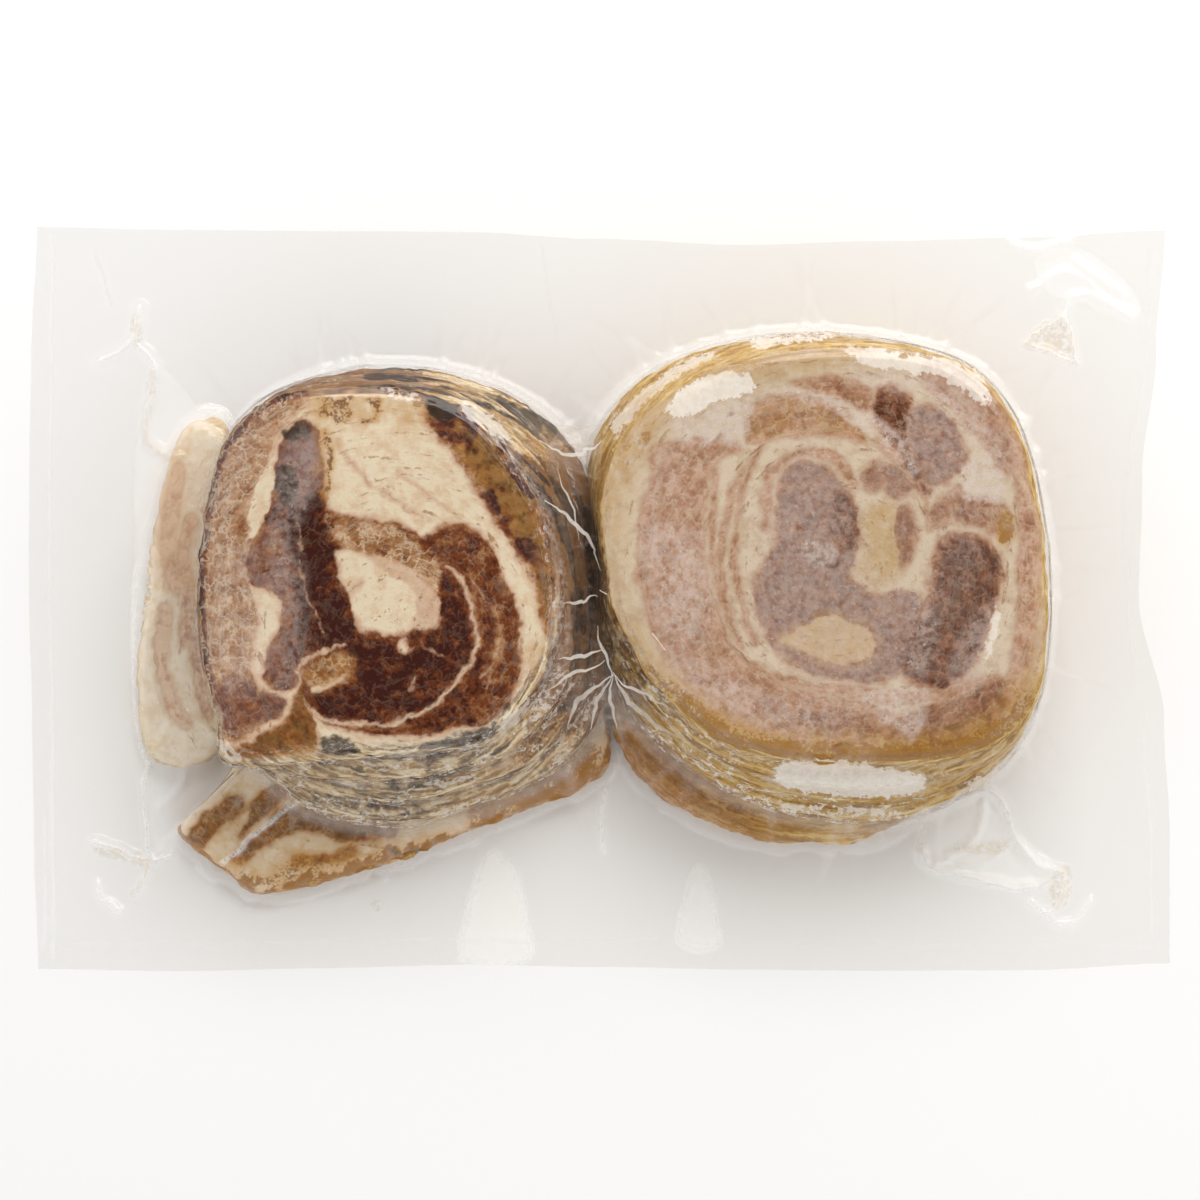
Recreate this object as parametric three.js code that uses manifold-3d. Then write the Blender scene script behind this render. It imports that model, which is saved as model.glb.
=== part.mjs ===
// A clear vacuum pouch of sliced rolled pork, lying flat.
//
// Two stacks of round slices lie side by side in the pouch. The lowest slice of
// the right stack and two loose slices under the left one stick out from below.
// The pouch is drawn tight over the meat by the vacuum, so pouch and contents
// are one body here: a thin wavy flange all round, two stepped stacks, three
// low slices, the film gathered between the stacks and the creases at the
// pouch's corners.
//
// Millimetres, +Z up. The pouch's length runs along X and its width along Y.
// The origin is at the middle of the pouch, on the surface that it lies on.

import * as THREE from 'three';
import { mergeVertices } from 'three/addons/utils/BufferGeometryUtils.js';
import Module from 'manifold-3d';

// ---- pouch
const POUCH_LENGTH = 300;
const POUCH_WIDTH = 196;
const FILM = 0.8; // thickness of the two films of the flange, with what lies between
const FLANGE_CLEARANCE = 0.3; // lowest the flange comes to the table
const FLANGE_CELLS_LONG = 26;
const FLANGE_CELLS_WIDE = 17;

// How far each edge of the pouch is drawn in (positive) or pushed out, at even
// steps: the long edges from left to right, the short ones from bottom to top.
const FAR_EDGE = [-0.6, 0.2, 0.5, 0.7, 2.6, 4.2, 3.1, 2.1, 0.2];
const NEAR_EDGE = [0.5, 0, 0.7, 1.5, 1.0, 0.4, 0, 0, 1.8];
const LEFT_EDGE = [1.6, 0.5, -0.3, -1.1, -0.8, -0.3, 1.1];
const RIGHT_EDGE = [-0.8, -0.6, 1.1, 8.0, 7.0, 3.0, 0.5];

// ---- meat
const SLICE = 8.4; // thickness of one slice
const LEVELS = 5; // slices in each stack, the low ones at the foot included
const TOP = SLICE * LEVELS;
const GROOVE = 1.3; // how far the film sinks in between two slices
const TUCK = 0.8; // how far the film leans in under an overhanging slice
const SKIRT = 7; // width of the film's curve from a stack's side to the flange
const SKIRT_RISE = 1.5;
const FACE_RELIEF = 0.5; // unevenness of the cut faces
const STACK_SIDES = 44;
const LOW_SIDES = 32;

// Outlines of the slices as they lie, each a closed smooth curve.
const LEFT_STACK = {
  centre: [-54, 4],
  top: [
    [-103, -10], [-102, 15], [-97.5, 38], [-84, 52], [-62, 55.5], [-37, 51], [-19, 33],
    [-10, 10], [-11, -13], [-22, -31], [-33, -38], [-66, -41], [-94, -42.5], [-98, -30],
  ],
  foot: [
    [-101, -10], [-100, 16], [-92, 48], [-68, 60], [-42, 60], [-18, 50.5], [-3, 32],
    [1, 0], [1, -27], [-10, -43], [-32, -54], [-53, -59], [-79, -53], [-96, -32],
  ],
};
const RIGHT_STACK = {
  centre: [57, 8],
  top: [
    [1, 5], [0.5, 30], [13, 50.5], [36, 62], [66, 65.5], [92, 60.5], [108, 41], [114, 8],
    [112, -24], [96, -40], [64, -42.5], [34, -38.5], [14, -23], [4, -6],
  ],
  foot: [
    [-1, 8], [-3, 38], [12, 58.5], [42, 69], [78, 67.5], [104, 55], [116, 21], [116.5, -15],
    [107, -41], [80, -57], [44, -54], [15, -37], [1, -14],
  ],
};

// The slices that lie loose at the foot: outline, and the height of their upper
// side at the outer edge.
const LOW_SLICES = [
  {
    centre: [50, -9],
    height: SLICE,
    outline: [
      [-4, -8], [1, -27], [11, -47], [31, -60], [53, -64], [72, -62.5], [87, -54], [100, -30],
      [100, 10], [50, 45], [5, 25],
    ],
  },
  {
    centre: [-58, -34],
    height: SLICE,
    outline: [
      [-111, -60.5], [-99, -71.5], [-86, -77.5], [-53, -68], [-21, -55.5], [-3, -49], [3, -38],
      [-6, -12], [-50, 0], [-90, -30],
    ],
  },
  {
    centre: [-92, 0],
    height: SLICE - 1.2,
    outline: [
      [-119, -40], [-122, -20], [-120, 0], [-117, 24], [-110, 45], [-95, 46], [-60, 20],
      [-60, -20], [-80, -44], [-104, -44],
    ],
  },
];

// ---- film pulled away from the meat
// Each crease is a low ridge of film: its line, its height and half its width.
const CREASE_HEIGHT = 3.2;
const CREASE_HALF_WIDTH = 2.4;
const CREASES = [
  // far left corner, beside the loose slice
  { line: [[-117, 61], [-120, 48], [-110, 39]], rise: 1.3 },
  { line: [[-128, 78], [-124, 66], [-117, 61]], rise: 0.7 },
  // near left corner, a star of folds
  { line: [[-131, -66], [-119, -69], [-108, -66]], rise: 1.0 },
  { line: [[-122, -77], [-119, -69], [-118, -42]], rise: 1.2 },
  { line: [[-119, -42], [-111, -29], [-102, -36]], rise: 1.4 },
  // near right corner, a tent of film from the stack towards the corner
  { line: [[88, -52], [107, -52], [122, -75]], rise: 1.6 },
  { line: [[84, -68], [105, -78], [122, -75]], rise: 1.2 },
  // far right corner
  { line: [[112, 67], [122, 76], [126, 63]], rise: 0.9 },
];

// The film spans the notch between the stacks at both ends, and fills the foot
// of the valley between them.
const WEBS = [
  { corners: [[-8, 34], [-6, 0], [-11, -33], [3, -30], [4, 0], [2, 37]], height: 14 },
  { corners: [[-14, 41], [0, 31], [7, 47], [-5, 39.5]], height: 24 },
  { corners: [[-8, -33], [0, -15], [10, -32], [1, -37]], height: 19 },
];

// ---- shapes

// Radius at any angle of a closed outline, seen from a centre inside it.
function polar(points, [cx, cy]) {
  const samples = 360;
  const corners = points.map(([x, y]) => new THREE.Vector3(x - cx, y - cy, 0));
  const curve = new THREE.CatmullRomCurve3(corners, true, 'centripetal');
  const around = curve.getSpacedPoints(samples).slice(0, samples)
    .map((p) => ({ angle: Math.atan2(p.y, p.x), radius: Math.hypot(p.x, p.y) }))
    .sort((a, b) => a.angle - b.angle);
  return (angle) => {
    const turn = Math.atan2(Math.sin(angle), Math.cos(angle));
    let after = around.findIndex((p) => p.angle >= turn);
    if (after < 0) after = 0;
    const b = around[after];
    const a = around[(after + samples - 1) % samples];
    const gap = (b.angle - a.angle + 2 * Math.PI) % (2 * Math.PI);
    const past = (turn - a.angle + 2 * Math.PI) % (2 * Math.PI);
    return THREE.MathUtils.lerp(a.radius, b.radius, gap > 0 ? past / gap : 0);
  };
}

// A closed body through rings round an upright axis. A ring gives its radius
// and height at each angle; the first and last rings are closed to the centre.
function loft([cx, cy], sides, rings, bottomHeight, topHeight) {
  const positions = [];
  const index = [];
  const corner = (ring, side) => ring * sides + (side % sides);
  rings.forEach((ring) => {
    for (let side = 0; side < sides; side += 1) {
      const angle = (2 * Math.PI * side) / sides;
      const radius = ring.radius(angle);
      const x = cx + radius * Math.cos(angle);
      const y = cy + radius * Math.sin(angle);
      positions.push(x, y, ring.height(x, y));
    }
  });
  const bottom = rings.length * sides;
  const top = bottom + 1;
  positions.push(cx, cy, bottomHeight, cx, cy, topHeight);
  const last = rings.length - 1;
  for (let side = 0; side < sides; side += 1) {
    index.push(bottom, corner(0, side + 1), corner(0, side));
    index.push(top, corner(last, side), corner(last, side + 1));
    for (let ring = 0; ring < last; ring += 1) {
      const a = corner(ring, side);
      const b = corner(ring, side + 1);
      const c = corner(ring + 1, side + 1);
      const d = corner(ring + 1, side);
      index.push(a, b, c, a, c, d);
    }
  }
  return closedGeometry(positions, index);
}

function closedGeometry(positions, index) {
  const geometry = new THREE.BufferGeometry();
  geometry.setAttribute('position', new THREE.Float32BufferAttribute(positions, 3));
  geometry.setIndex(index);
  return geometry;
}

// Slow rise and fall of a cut face of meat.
function faceRelief(x, y) {
  return FACE_RELIEF * (Math.sin(x / 11 + y / 19) + Math.cos(y / 9 - x / 23));
}

// One stack under its film. The slices pass evenly from the top outline to the
// foot outline, and the film hangs straight down from any slice that overhangs.
function stack({ centre, top, foot }) {
  const topRadius = polar(top, centre);
  const footRadius = polar(foot, centre);
  const reach = (level, angle) => {
    let film = topRadius(angle);
    for (let down = 1; down <= level; down += 1) {
      const part = down / (LEVELS - 2);
      const own = THREE.MathUtils.lerp(topRadius(angle), footRadius(angle), Math.min(part, 1));
      film = Math.max(own, film - TUCK);
    }
    return film;
  };
  const flat = (z) => () => z;
  const lowest = LEVELS - 1;
  const rings = [
    { radius: (a) => reach(lowest, a) + SKIRT, height: flat(0) },
    { radius: (a) => reach(lowest, a) + SKIRT, height: flat(SKIRT_RISE) },
    { radius: (a) => reach(lowest, a) + SKIRT * 0.35, height: flat(SKIRT_RISE * 2) },
  ];
  const grooveAt = { 0.3: 0, 0.72: 0, 1: GROOVE };
  for (let level = lowest; level >= 1; level -= 1) {
    const floor = (lowest - level) * SLICE;
    Object.entries(grooveAt).forEach(([part, depth]) => {
      if (level === lowest && depth === 0 && Number(part) < 0.5) return;
      rings.push({
        radius: (a) => reach(level, a) - depth,
        height: flat(floor + SLICE * Number(part)),
      });
    });
  }
  const crown = (x, y) => TOP - 2 * FACE_RELIEF + faceRelief(x, y);
  rings.push({ radius: topRadius, height: flat(TOP - SLICE * 0.7) });
  rings.push({ radius: (a) => topRadius(a) - 0.3, height: flat(TOP - SLICE * 0.38) });
  rings.push({ radius: (a) => topRadius(a) - 2.2, height: (x, y) => crown(x, y) - 0.7 });
  [0.9, 0.68, 0.42, 0.2].forEach((part) => {
    rings.push({ radius: (a) => topRadius(a) * part, height: crown });
  });
  return loft(centre, STACK_SIDES, rings, 0, crown(...centre));
}

// A slice that lies low at the foot of a stack, with the film drawn over it.
function lowSlice({ centre, height, outline }) {
  const radius = polar(outline, centre);
  const flat = (z) => () => z;
  const rings = [
    { radius: (a) => radius(a) + SKIRT * 0.5, height: flat(0) },
    { radius: (a) => radius(a) + SKIRT * 0.5, height: flat(SKIRT_RISE) },
    { radius, height: flat(SKIRT_RISE * 2) },
    { radius, height: flat(height * 0.6) },
    { radius: (a) => radius(a) - 2, height: flat(height) },
    { radius: (a) => radius(a) * 0.5, height: flat(height + 0.4) },
  ];
  return loft(centre, LOW_SIDES, rings, 0, height + 0.4);
}

// Value of an evenly stepped list at a part of its length.
function along(list, part) {
  const place = part * (list.length - 1);
  const before = Math.min(Math.floor(place), list.length - 2);
  const t = THREE.MathUtils.smoothstep(place - before, 0, 1);
  return THREE.MathUtils.lerp(list[before], list[before + 1], t);
}

// Height of the flange's underside at a part of the pouch's length and width:
// long soft waves that grow towards the edge.
function flangeWave(u, v) {
  const edge = Math.max(Math.abs(u - 0.5), Math.abs(v - 0.5)) * 2;
  const lift = THREE.MathUtils.smoothstep(edge, 0.55, 1);
  const wave = 1.6 + Math.sin(u * 11 + 0.6) * Math.cos(v * 7.5) + 0.6 * Math.sin(v * 12 + u * 5);
  const rightMiddle = Math.exp(-(((u - 1) / 0.12) ** 2) - ((v - 0.58) / 0.18) ** 2);
  return FLANGE_CLEARANCE + lift * Math.max(wave, 0) + 3.5 * rightMiddle;
}

// The two films of the pouch, laid together and sealed, as one wavy sheet.
function flange() {
  const positions = [];
  const index = [];
  const columns = FLANGE_CELLS_LONG + 1;
  const rows = FLANGE_CELLS_WIDE + 1;
  const sheet = columns * rows;
  [0, FILM].forEach((lift) => {
    for (let row = 0; row < rows; row += 1) {
      const v = row / FLANGE_CELLS_WIDE;
      const left = -POUCH_LENGTH / 2 + along(LEFT_EDGE, v);
      const right = POUCH_LENGTH / 2 - along(RIGHT_EDGE, v);
      for (let column = 0; column < columns; column += 1) {
        const u = column / FLANGE_CELLS_LONG;
        const near = -POUCH_WIDTH / 2 + along(NEAR_EDGE, u);
        const far = POUCH_WIDTH / 2 - along(FAR_EDGE, u);
        const x = THREE.MathUtils.lerp(left, right, u);
        const y = THREE.MathUtils.lerp(near, far, v);
        positions.push(x, y, flangeWave(u, v) + lift);
      }
    }
  });
  const corner = (column, row) => row * columns + column;
  for (let row = 0; row < FLANGE_CELLS_WIDE; row += 1) {
    for (let column = 0; column < FLANGE_CELLS_LONG; column += 1) {
      const a = corner(column, row);
      const b = corner(column + 1, row);
      const c = corner(column + 1, row + 1);
      const d = corner(column, row + 1);
      index.push(a, c, b, a, d, c);
      index.push(sheet + a, sheet + b, sheet + c, sheet + a, sheet + c, sheet + d);
    }
  }
  const wall = (a, b) => index.push(a, b, sheet + b, a, sheet + b, sheet + a);
  for (let column = 0; column < FLANGE_CELLS_LONG; column += 1) {
    wall(corner(column, 0), corner(column + 1, 0));
    wall(corner(column + 1, FLANGE_CELLS_WIDE), corner(column, FLANGE_CELLS_WIDE));
  }
  for (let row = 0; row < FLANGE_CELLS_WIDE; row += 1) {
    wall(corner(0, row + 1), corner(0, row));
    wall(corner(FLANGE_CELLS_LONG, row), corner(FLANGE_CELLS_LONG, row + 1));
  }
  return closedGeometry(positions, index);
}

// A ridge of creased film along a bent line, with a pointed back that falls
// away to both ends.
function crease({ line, rise }) {
  const path = new THREE.CatmullRomCurve3(line.map(([x, y]) => new THREE.Vector3(x, y, 0)));
  const steps = 6;
  const positions = [];
  const index = [];
  for (let step = 0; step <= steps; step += 1) {
    const part = step / steps;
    const swell = 0.3 + 0.7 * Math.sin(Math.PI * part);
    const centre = path.getPoint(part);
    const along2d = path.getTangent(part);
    const side = new THREE.Vector3(-along2d.y, along2d.x, 0).multiplyScalar(CREASE_HALF_WIDTH * swell);
    const sheet = flangeWave(centre.x / POUCH_LENGTH + 0.5, centre.y / POUCH_WIDTH + 0.5);
    const foot = sheet + FILM / 2;
    positions.push(centre.x - side.x, centre.y - side.y, foot);
    positions.push(centre.x + side.x, centre.y + side.y, foot);
    positions.push(centre.x, centre.y, sheet + FILM + CREASE_HEIGHT * rise * swell);
  }
  for (let step = 0; step < steps; step += 1) {
    const a = step * 3;
    const b = a + 3;
    for (let edge = 0; edge < 3; edge += 1) {
      const next = (edge + 1) % 3;
      index.push(a + edge, b + next, b + edge, a + edge, a + next, b + next);
    }
  }
  const end = steps * 3;
  index.push(0, 2, 1, end, end + 1, end + 2);
  return closedGeometry(positions, index);
}

// The film stretched over the notch between the stacks, down to the table.
function web({ corners, height }) {
  const shape = new THREE.Shape(corners.map(([x, y]) => new THREE.Vector2(x, y)));
  return new THREE.ExtrudeGeometry(shape, { depth: height, bevelEnabled: false });
}

// ---- joining

const SMALLEST_EDGE = 0.05; // shorter edges that the joining leaves are closed up

const wasm = await Module();
wasm.setup();

function solid(geometry) {
  const bare = geometry.clone();
  bare.deleteAttribute('normal');
  bare.deleteAttribute('uv');
  const merged = mergeVertices(bare);
  return new wasm.Manifold(new wasm.Mesh({
    numProp: 3,
    vertProperties: new Float32Array(merged.attributes.position.array),
    triVerts: new Uint32Array(merged.index.array),
  }));
}

// All pieces as one body. Small hollows that the joining seals in between the
// pieces are filled, because only the outer skin is kept.
function joined(geometries) {
  const whole = geometries.map(solid).reduce((body, piece) => body.add(piece));
  const skins = whole.simplify(SMALLEST_EDGE).decompose();
  const [outer] = skins.sort((a, b) => b.volume() - a.volume());
  const { vertProperties, triVerts } = outer.getMesh();
  const joint = new THREE.BufferGeometry();
  joint.setAttribute('position', new THREE.BufferAttribute(vertProperties, 3));
  joint.setIndex(new THREE.BufferAttribute(triVerts, 1));
  joint.computeVertexNormals();
  return joint;
}

// ---- the pack

const clearFilm = new THREE.MeshStandardMaterial({ color: 0xe9e3d8, roughness: 0.25, metalness: 0 });

const pouch = new THREE.Mesh(
  joined([
    flange(),
    stack(LEFT_STACK),
    stack(RIGHT_STACK),
    ...LOW_SLICES.map(lowSlice),
    ...CREASES.map(crease),
    ...WEBS.map(web),
  ]),
  clearFilm,
);
pouch.name = 'vacuum_pouch';

const group = new THREE.Group();
group.add(pouch);

export default group;
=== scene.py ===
import itertools

import bmesh
import bpy
import numpy as np
from mathutils import Matrix, Vector


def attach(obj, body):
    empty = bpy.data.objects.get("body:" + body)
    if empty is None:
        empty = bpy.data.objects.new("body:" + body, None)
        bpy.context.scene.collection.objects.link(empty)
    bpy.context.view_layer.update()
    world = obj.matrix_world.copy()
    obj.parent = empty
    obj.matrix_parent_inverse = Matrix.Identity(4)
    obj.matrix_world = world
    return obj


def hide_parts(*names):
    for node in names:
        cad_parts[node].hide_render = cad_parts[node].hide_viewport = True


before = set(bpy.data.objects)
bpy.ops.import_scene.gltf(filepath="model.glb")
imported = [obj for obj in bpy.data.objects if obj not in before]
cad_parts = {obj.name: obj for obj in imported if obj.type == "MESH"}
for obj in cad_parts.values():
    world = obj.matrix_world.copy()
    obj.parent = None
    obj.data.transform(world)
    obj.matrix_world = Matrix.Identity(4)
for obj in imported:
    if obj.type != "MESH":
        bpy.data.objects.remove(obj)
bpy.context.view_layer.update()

# ---------------------------------------------------------------------------
# The pack as a whole: a clear vacuum pouch, 300 by 196 mm, lying flat with two
# stacks of rolled pork slices in it. Everything below is in metres, on the
# table's plane z = 0. The photograph looks straight down on the pack, so a
# place read in it (in its 1200 pixels) is a place on the pack at some height.

MM = 0.001
CAMERA_HEIGHT = 1000 * MM
PHOTO_PIXEL = 0.265 * MM
PHOTO_SIZE = 1200
PHOTO_MIDDLE = PHOTO_SIZE / 2
SLICE = 8.4 * MM
LEVELS = 5  # the four slices of a stack and the one below them
TOP = SLICE * LEVELS
FACE_RELIEF = 0.5 * MM

bpy.context.scene.view_settings.view_transform = "Standard"


def pixel_at(z):
    """What one pixel of the photograph spans at a height."""
    return PHOTO_PIXEL * (1 - z / CAMERA_HEIGHT)


def seen_at(x, y, z):
    """Where a place on the pack shows in the photograph, in pixels."""
    pixel = pixel_at(z)
    return PHOTO_MIDDLE + x / pixel, PHOTO_MIDDLE - y / pixel


# ---------------------------------------------------------------------------
# The pork: a slab of belly, skin side out, rolled up, tied, browned, braised
# in soy and cut across, so each slice is a round of lean and fat in a spiral.
# Each slice is a drum: a flat cut face, a rounded rim and a plain underside.


def smooth_line(points, closed, steps=8):
    """A smooth line through a few points, as many short steps."""
    spots = np.array(points, float)
    part = np.linspace(0, 1, steps, endpoint=False)[:, None]
    count = len(spots)
    pieces = []
    for i in range(count if closed else count - 1):
        near = [i - 1, i, i + 1, i + 2]
        a, b, c, d = (spots[j % count if closed else min(max(j, 0), count - 1)] for j in near)
        bend = 2 * a - 5 * b + 4 * c - d
        twist = 3 * b - a - 3 * c + d
        pieces.append(0.5 * (2 * b + (c - a) * part + bend * part**2 + twist * part**3))
    if not closed:
        pieces.append(spots[-1:])
    return np.concatenate(pieces)


def round_outline(points, centre):
    """Radius at any angle of a closed outline, seen from a centre inside it."""
    line = smooth_line(points, True, 24) - np.array(centre)
    angle = np.arctan2(line[:, 1], line[:, 0])
    radius = np.hypot(line[:, 0], line[:, 1])
    order = np.argsort(angle)
    return lambda theta: np.interp(theta, angle[order], radius[order], period=2 * np.pi)


WALL_MARK = 2


def soft_step(value, low=0.0, high=1.0):
    part = np.clip((value - low) / (high - low), 0, 1)
    return part * part * (3 - 2 * part)


def new_drum(cells, rings, underside):
    """A square sheet of cells, and on a circle twice as wide a wall of rings below it."""
    made = bmesh.new()
    bmesh.ops.create_circle(made, segments=4 * cells, radius=WALL_MARK)
    rim = list(made.edges)
    for _ in range(rings):
        grown = bmesh.ops.extrude_edge_only(made, edges=rim)["geom"]
        corners = [part for part in grown if isinstance(part, bmesh.types.BMVert)]
        bmesh.ops.translate(made, vec=(0, 0, -1), verts=corners)
        rim = [part for part in grown if isinstance(part, bmesh.types.BMEdge) and part.is_boundary]
    if underside == "plain":
        bmesh.ops.holes_fill(made, edges=rim, sides=0)
    bmesh.ops.create_grid(made, x_segments=cells, y_segments=cells, size=1)
    if underside == "sheet":
        below = Matrix.Translation((0, 0, -rings))
        bmesh.ops.create_grid(made, x_segments=cells, y_segments=cells, size=1, matrix=below)
    mesh = bpy.data.meshes.new("drum")
    made.to_mesh(mesh)
    made.free()
    return mesh


def corners_of(mesh):
    spots = np.empty(len(mesh.vertices) * 3)
    mesh.vertices.foreach_get("co", spots)
    return spots.reshape(-1, 3)


def move_corners(mesh, x, y, z):
    mesh.vertices.foreach_set("co", np.stack([x, y, z], axis=1).ravel())
    mesh.polygons.foreach_set("use_smooth", np.ones(len(mesh.polygons), bool))
    mesh.update()


def drum_places(mesh):
    """Angle, share of the radius and ring of each corner of a new drum."""
    u, v, down = corners_of(mesh).T
    wall = np.hypot(u, v) > (1 + WALL_MARK) / 2
    wide = np.abs(u) >= np.abs(v)
    safe_u = np.where(np.abs(u) < 1e-9, 1e-9, u)
    safe_v = np.where(np.abs(v) < 1e-9, 1e-9, v)
    reach = np.where(wide, u, v)
    turn = np.where(wide, np.pi / 4 * v / safe_u, np.pi / 2 - np.pi / 4 * u / safe_v)
    angle = np.arctan2(reach * np.sin(turn), reach * np.cos(turn))
    angle = np.where(wall, np.arctan2(v, u), angle)
    share = np.where(wall, 1, np.maximum(np.abs(u), np.abs(v)))
    return angle, share, np.round(-down)


def closed_up(mesh):
    """Welds a drum's sheets to its wall and turns its faces outwards."""
    made = bmesh.new()
    made.from_mesh(mesh)
    bmesh.ops.remove_doubles(made, verts=made.verts, dist=0.002 * MM)
    bmesh.ops.recalc_face_normals(made, faces=made.faces)
    made.to_mesh(mesh)
    made.free()


def write_layers(mesh, layers):
    for name, values in layers.items():
        values = np.asarray(values, np.float32)
        if values.ndim == 2:
            layer = mesh.attributes.new(name, "FLOAT_VECTOR", "POINT")
            layer.data.foreach_set("vector", values.ravel())
        else:
            layer = mesh.attributes.new(name, "FLOAT", "POINT")
            layer.data.foreach_set("value", values)


# Large primes that scatter a whole-numbered place evenly over the hash.
SEED_STEP = 7919
OCTAVE_STEP = 104729
PLACE_MIX = 73856093
ROUND_MIX = 19349663
LAST_MIX = 83492791
HASH_SIZE = 2147483647
OCTAVE_FADE = 0.6


def bumps(places, size, seed, octaves=3):
    """Smooth noise from -1 to 1, in bumps of one size and finer ones on them."""
    total = np.zeros(len(places[0]))
    for octave in range(octaves):
        spots = np.stack([np.asarray(axis, float) for axis in places]) * 2**octave / size
        low = np.floor(spots).astype(np.int64)
        part = soft_step(spots - low)
        for corner in itertools.product((0, 1), repeat=len(places)):
            mixed_up = np.full(len(total), seed * SEED_STEP + octave * OCTAVE_STEP, np.int64)
            weight = np.ones(len(total))
            for axis, step in enumerate(corner):
                mixed_up = (mixed_up ^ (low[axis] + step) * PLACE_MIX) * ROUND_MIX % HASH_SIZE
                weight = weight * (part[axis] if step else 1 - part[axis])
            mixed_up = (mixed_up ^ (mixed_up >> 11)) * LAST_MIX % HASH_SIZE
            total += weight * (mixed_up / (HASH_SIZE / 2) - 1) * OCTAVE_FADE**octave
    return total


def piece_of(name, mesh, material, slot):
    """The finished piece, riding on the pack."""
    mesh.name = name
    mesh.materials.append(material)
    piece = bpy.data.objects.new(name, mesh)
    bpy.context.scene.collection.objects.link(piece)
    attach(piece, "root")
    if slot == "clear_film":
        # thin clear film lets the light through, so it doesn't dim the meat under it
        piece.visible_shadow = False
        piece.visible_diffuse = False
    return piece


def face_relief(x, y):
    """Slow rise and fall of the top cut faces."""
    long_wave = np.sin(x / (11 * MM) + y / (19 * MM))
    return FACE_RELIEF * (long_wave + np.cos(y / (9 * MM) - x / (23 * MM)))


def crown(x, y):
    return TOP - 2 * FACE_RELIEF + face_relief(x, y)


RIM_RINGS = 14
RIM_REACH = 50  # millimetres from a slice's middle to its rim, for noise round it
RIM_WAVER = 0.55 * MM
RIM_RIPPLE = 0.25 * MM
RIM_TUCK = 0.8 * MM
RIM_DROP = 0.9 * MM
SLICE_GAP = 0.15 * MM
ROLL_TURNS = 5.0  # cells of streak noise round a roll, over 2 pi
STREAK_DEPTH = 1.3 * MM  # one cell of it from layer to layer


def streak_place(angle, depth):
    """Where streaks that follow a roll's layers lie in their noise."""
    spun = (ROLL_TURNS * np.cos(angle), ROLL_TURNS * np.sin(angle), depth / STREAK_DEPTH)
    return np.stack(spun, axis=1)


def round_the_rim(angle, depth):
    return np.cos(angle) * RIM_REACH * MM, np.sin(angle) * RIM_REACH * MM, depth * SLICE


def slice_drum(centre, radius, level, cells, seed):
    """One slice of a stack, level 0 on top. Returns the mesh and its places."""
    mesh = new_drum(cells, RIM_RINGS, "plain")
    angle, share, ring = drum_places(mesh)
    depth = ring / RIM_RINGS
    around = round_the_rim(angle, depth)
    waver = bumps(around, 9 * MM, seed) * RIM_WAVER + bumps(around, 2.5 * MM, seed + 50) * RIM_RIPPLE
    outer = radius(angle) + waver * soft_step(share, 0.9, 1)
    tuck = RIM_TUCK * np.abs(2 * depth - 1) ** 3
    reach = share * outer - np.where(ring > 0, tuck, tuck * soft_step(share, 0.93, 1))
    x = centre[0] + reach * np.cos(angle)
    y = centre[1] + reach * np.sin(angle)
    top = crown(x, y) if level == 0 else np.full(len(x), TOP - level * SLICE)
    edge_drop = RIM_DROP * soft_step(share, 0.94, 1)
    low = TOP - (level + 1) * SLICE + SLICE_GAP
    z = top - edge_drop * (1 - depth) - (top - low) * depth
    move_corners(mesh, x, y, z)
    return mesh, angle, share, depth


# The painted anatomy. A canvas holds, for each corner of a slice, its place in
# the photograph and some layers: fat is the distance in millimetres into fat
# (below zero, into lean), tone the depth of the lean's brown, mauve a grey
# bloom, stain amber juice, char the scorched rind and also painted shade on the
# walls that face the gap between the stacks, marble the fine fat and rim the
# streaked skin side. Its places wander a little, so no outline is drawn clean.

CANVAS_PIXEL = 0.254  # millimetres that a pixel spans at the top of the stacks
WALL_STREAKS = 0.6  # how much a wall's depth counts, so its streaks are broader than a face's
FAR = 40  # pixels round a line past which no distance to it is worked out


def wandering(across, down, reach=2.4):
    """Places in the photograph, moved about by a few pixels as a hand-cut edge wanders."""
    flat = (across, down)
    return (
        across + reach * (bumps(flat, 17, 1) + 0.55 * bumps(flat, 6, 3)),
        down + reach * (bumps(flat, 17, 2) + 0.55 * bumps(flat, 6, 4)),
    )


def new_canvas(mesh, core, fat, tone, marble=1.0):
    """A canvas for a slice whose roll is wound about a core, a place in the photograph."""
    x, y, z = corners_of(mesh).T
    across, down = seen_at(x, y, z)
    count = len(across)
    plain = {"fat": fat, "tone": tone, "mauve": 0.0, "stain": 0.0, "char": 0.0, "rim": 0.0}
    layers = {name: np.full(count, value) for name, value in plain.items()}
    layers["marble"] = np.full(count, marble)
    side, up = across - core[0], core[1] - down
    depth = np.hypot(side, up) * CANVAS_PIXEL * MM - WALL_STREAKS * z
    layers["run"] = streak_place(np.arctan2(up, side), depth)
    moved, lowered = wandering(across, down)
    return {"across": moved, "down": lowered, "layers": layers}


def distance_to(line, across, down):
    """Distance in pixels from places to a line of short steps."""
    nearest = np.full(len(across), np.inf)
    for (ax, ay), (bx, by) in zip(line[:-1], line[1:]):
        dx, dy = bx - ax, by - ay
        span = max(dx * dx + dy * dy, 1e-9)
        part = np.clip(((across - ax) * dx + (down - ay) * dy) / span, 0, 1)
        nearest = np.minimum(nearest, np.hypot(across - ax - part * dx, down - ay - part * dy))
    return nearest


def close_to(line, canvas):
    """Which corners of a canvas lie near a line."""
    low, high = line.min(axis=0) - FAR, line.max(axis=0) + FAR
    across, down = canvas["across"], canvas["down"]
    return (across > low[0]) & (across < high[0]) & (down > low[1]) & (down < high[1])


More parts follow.
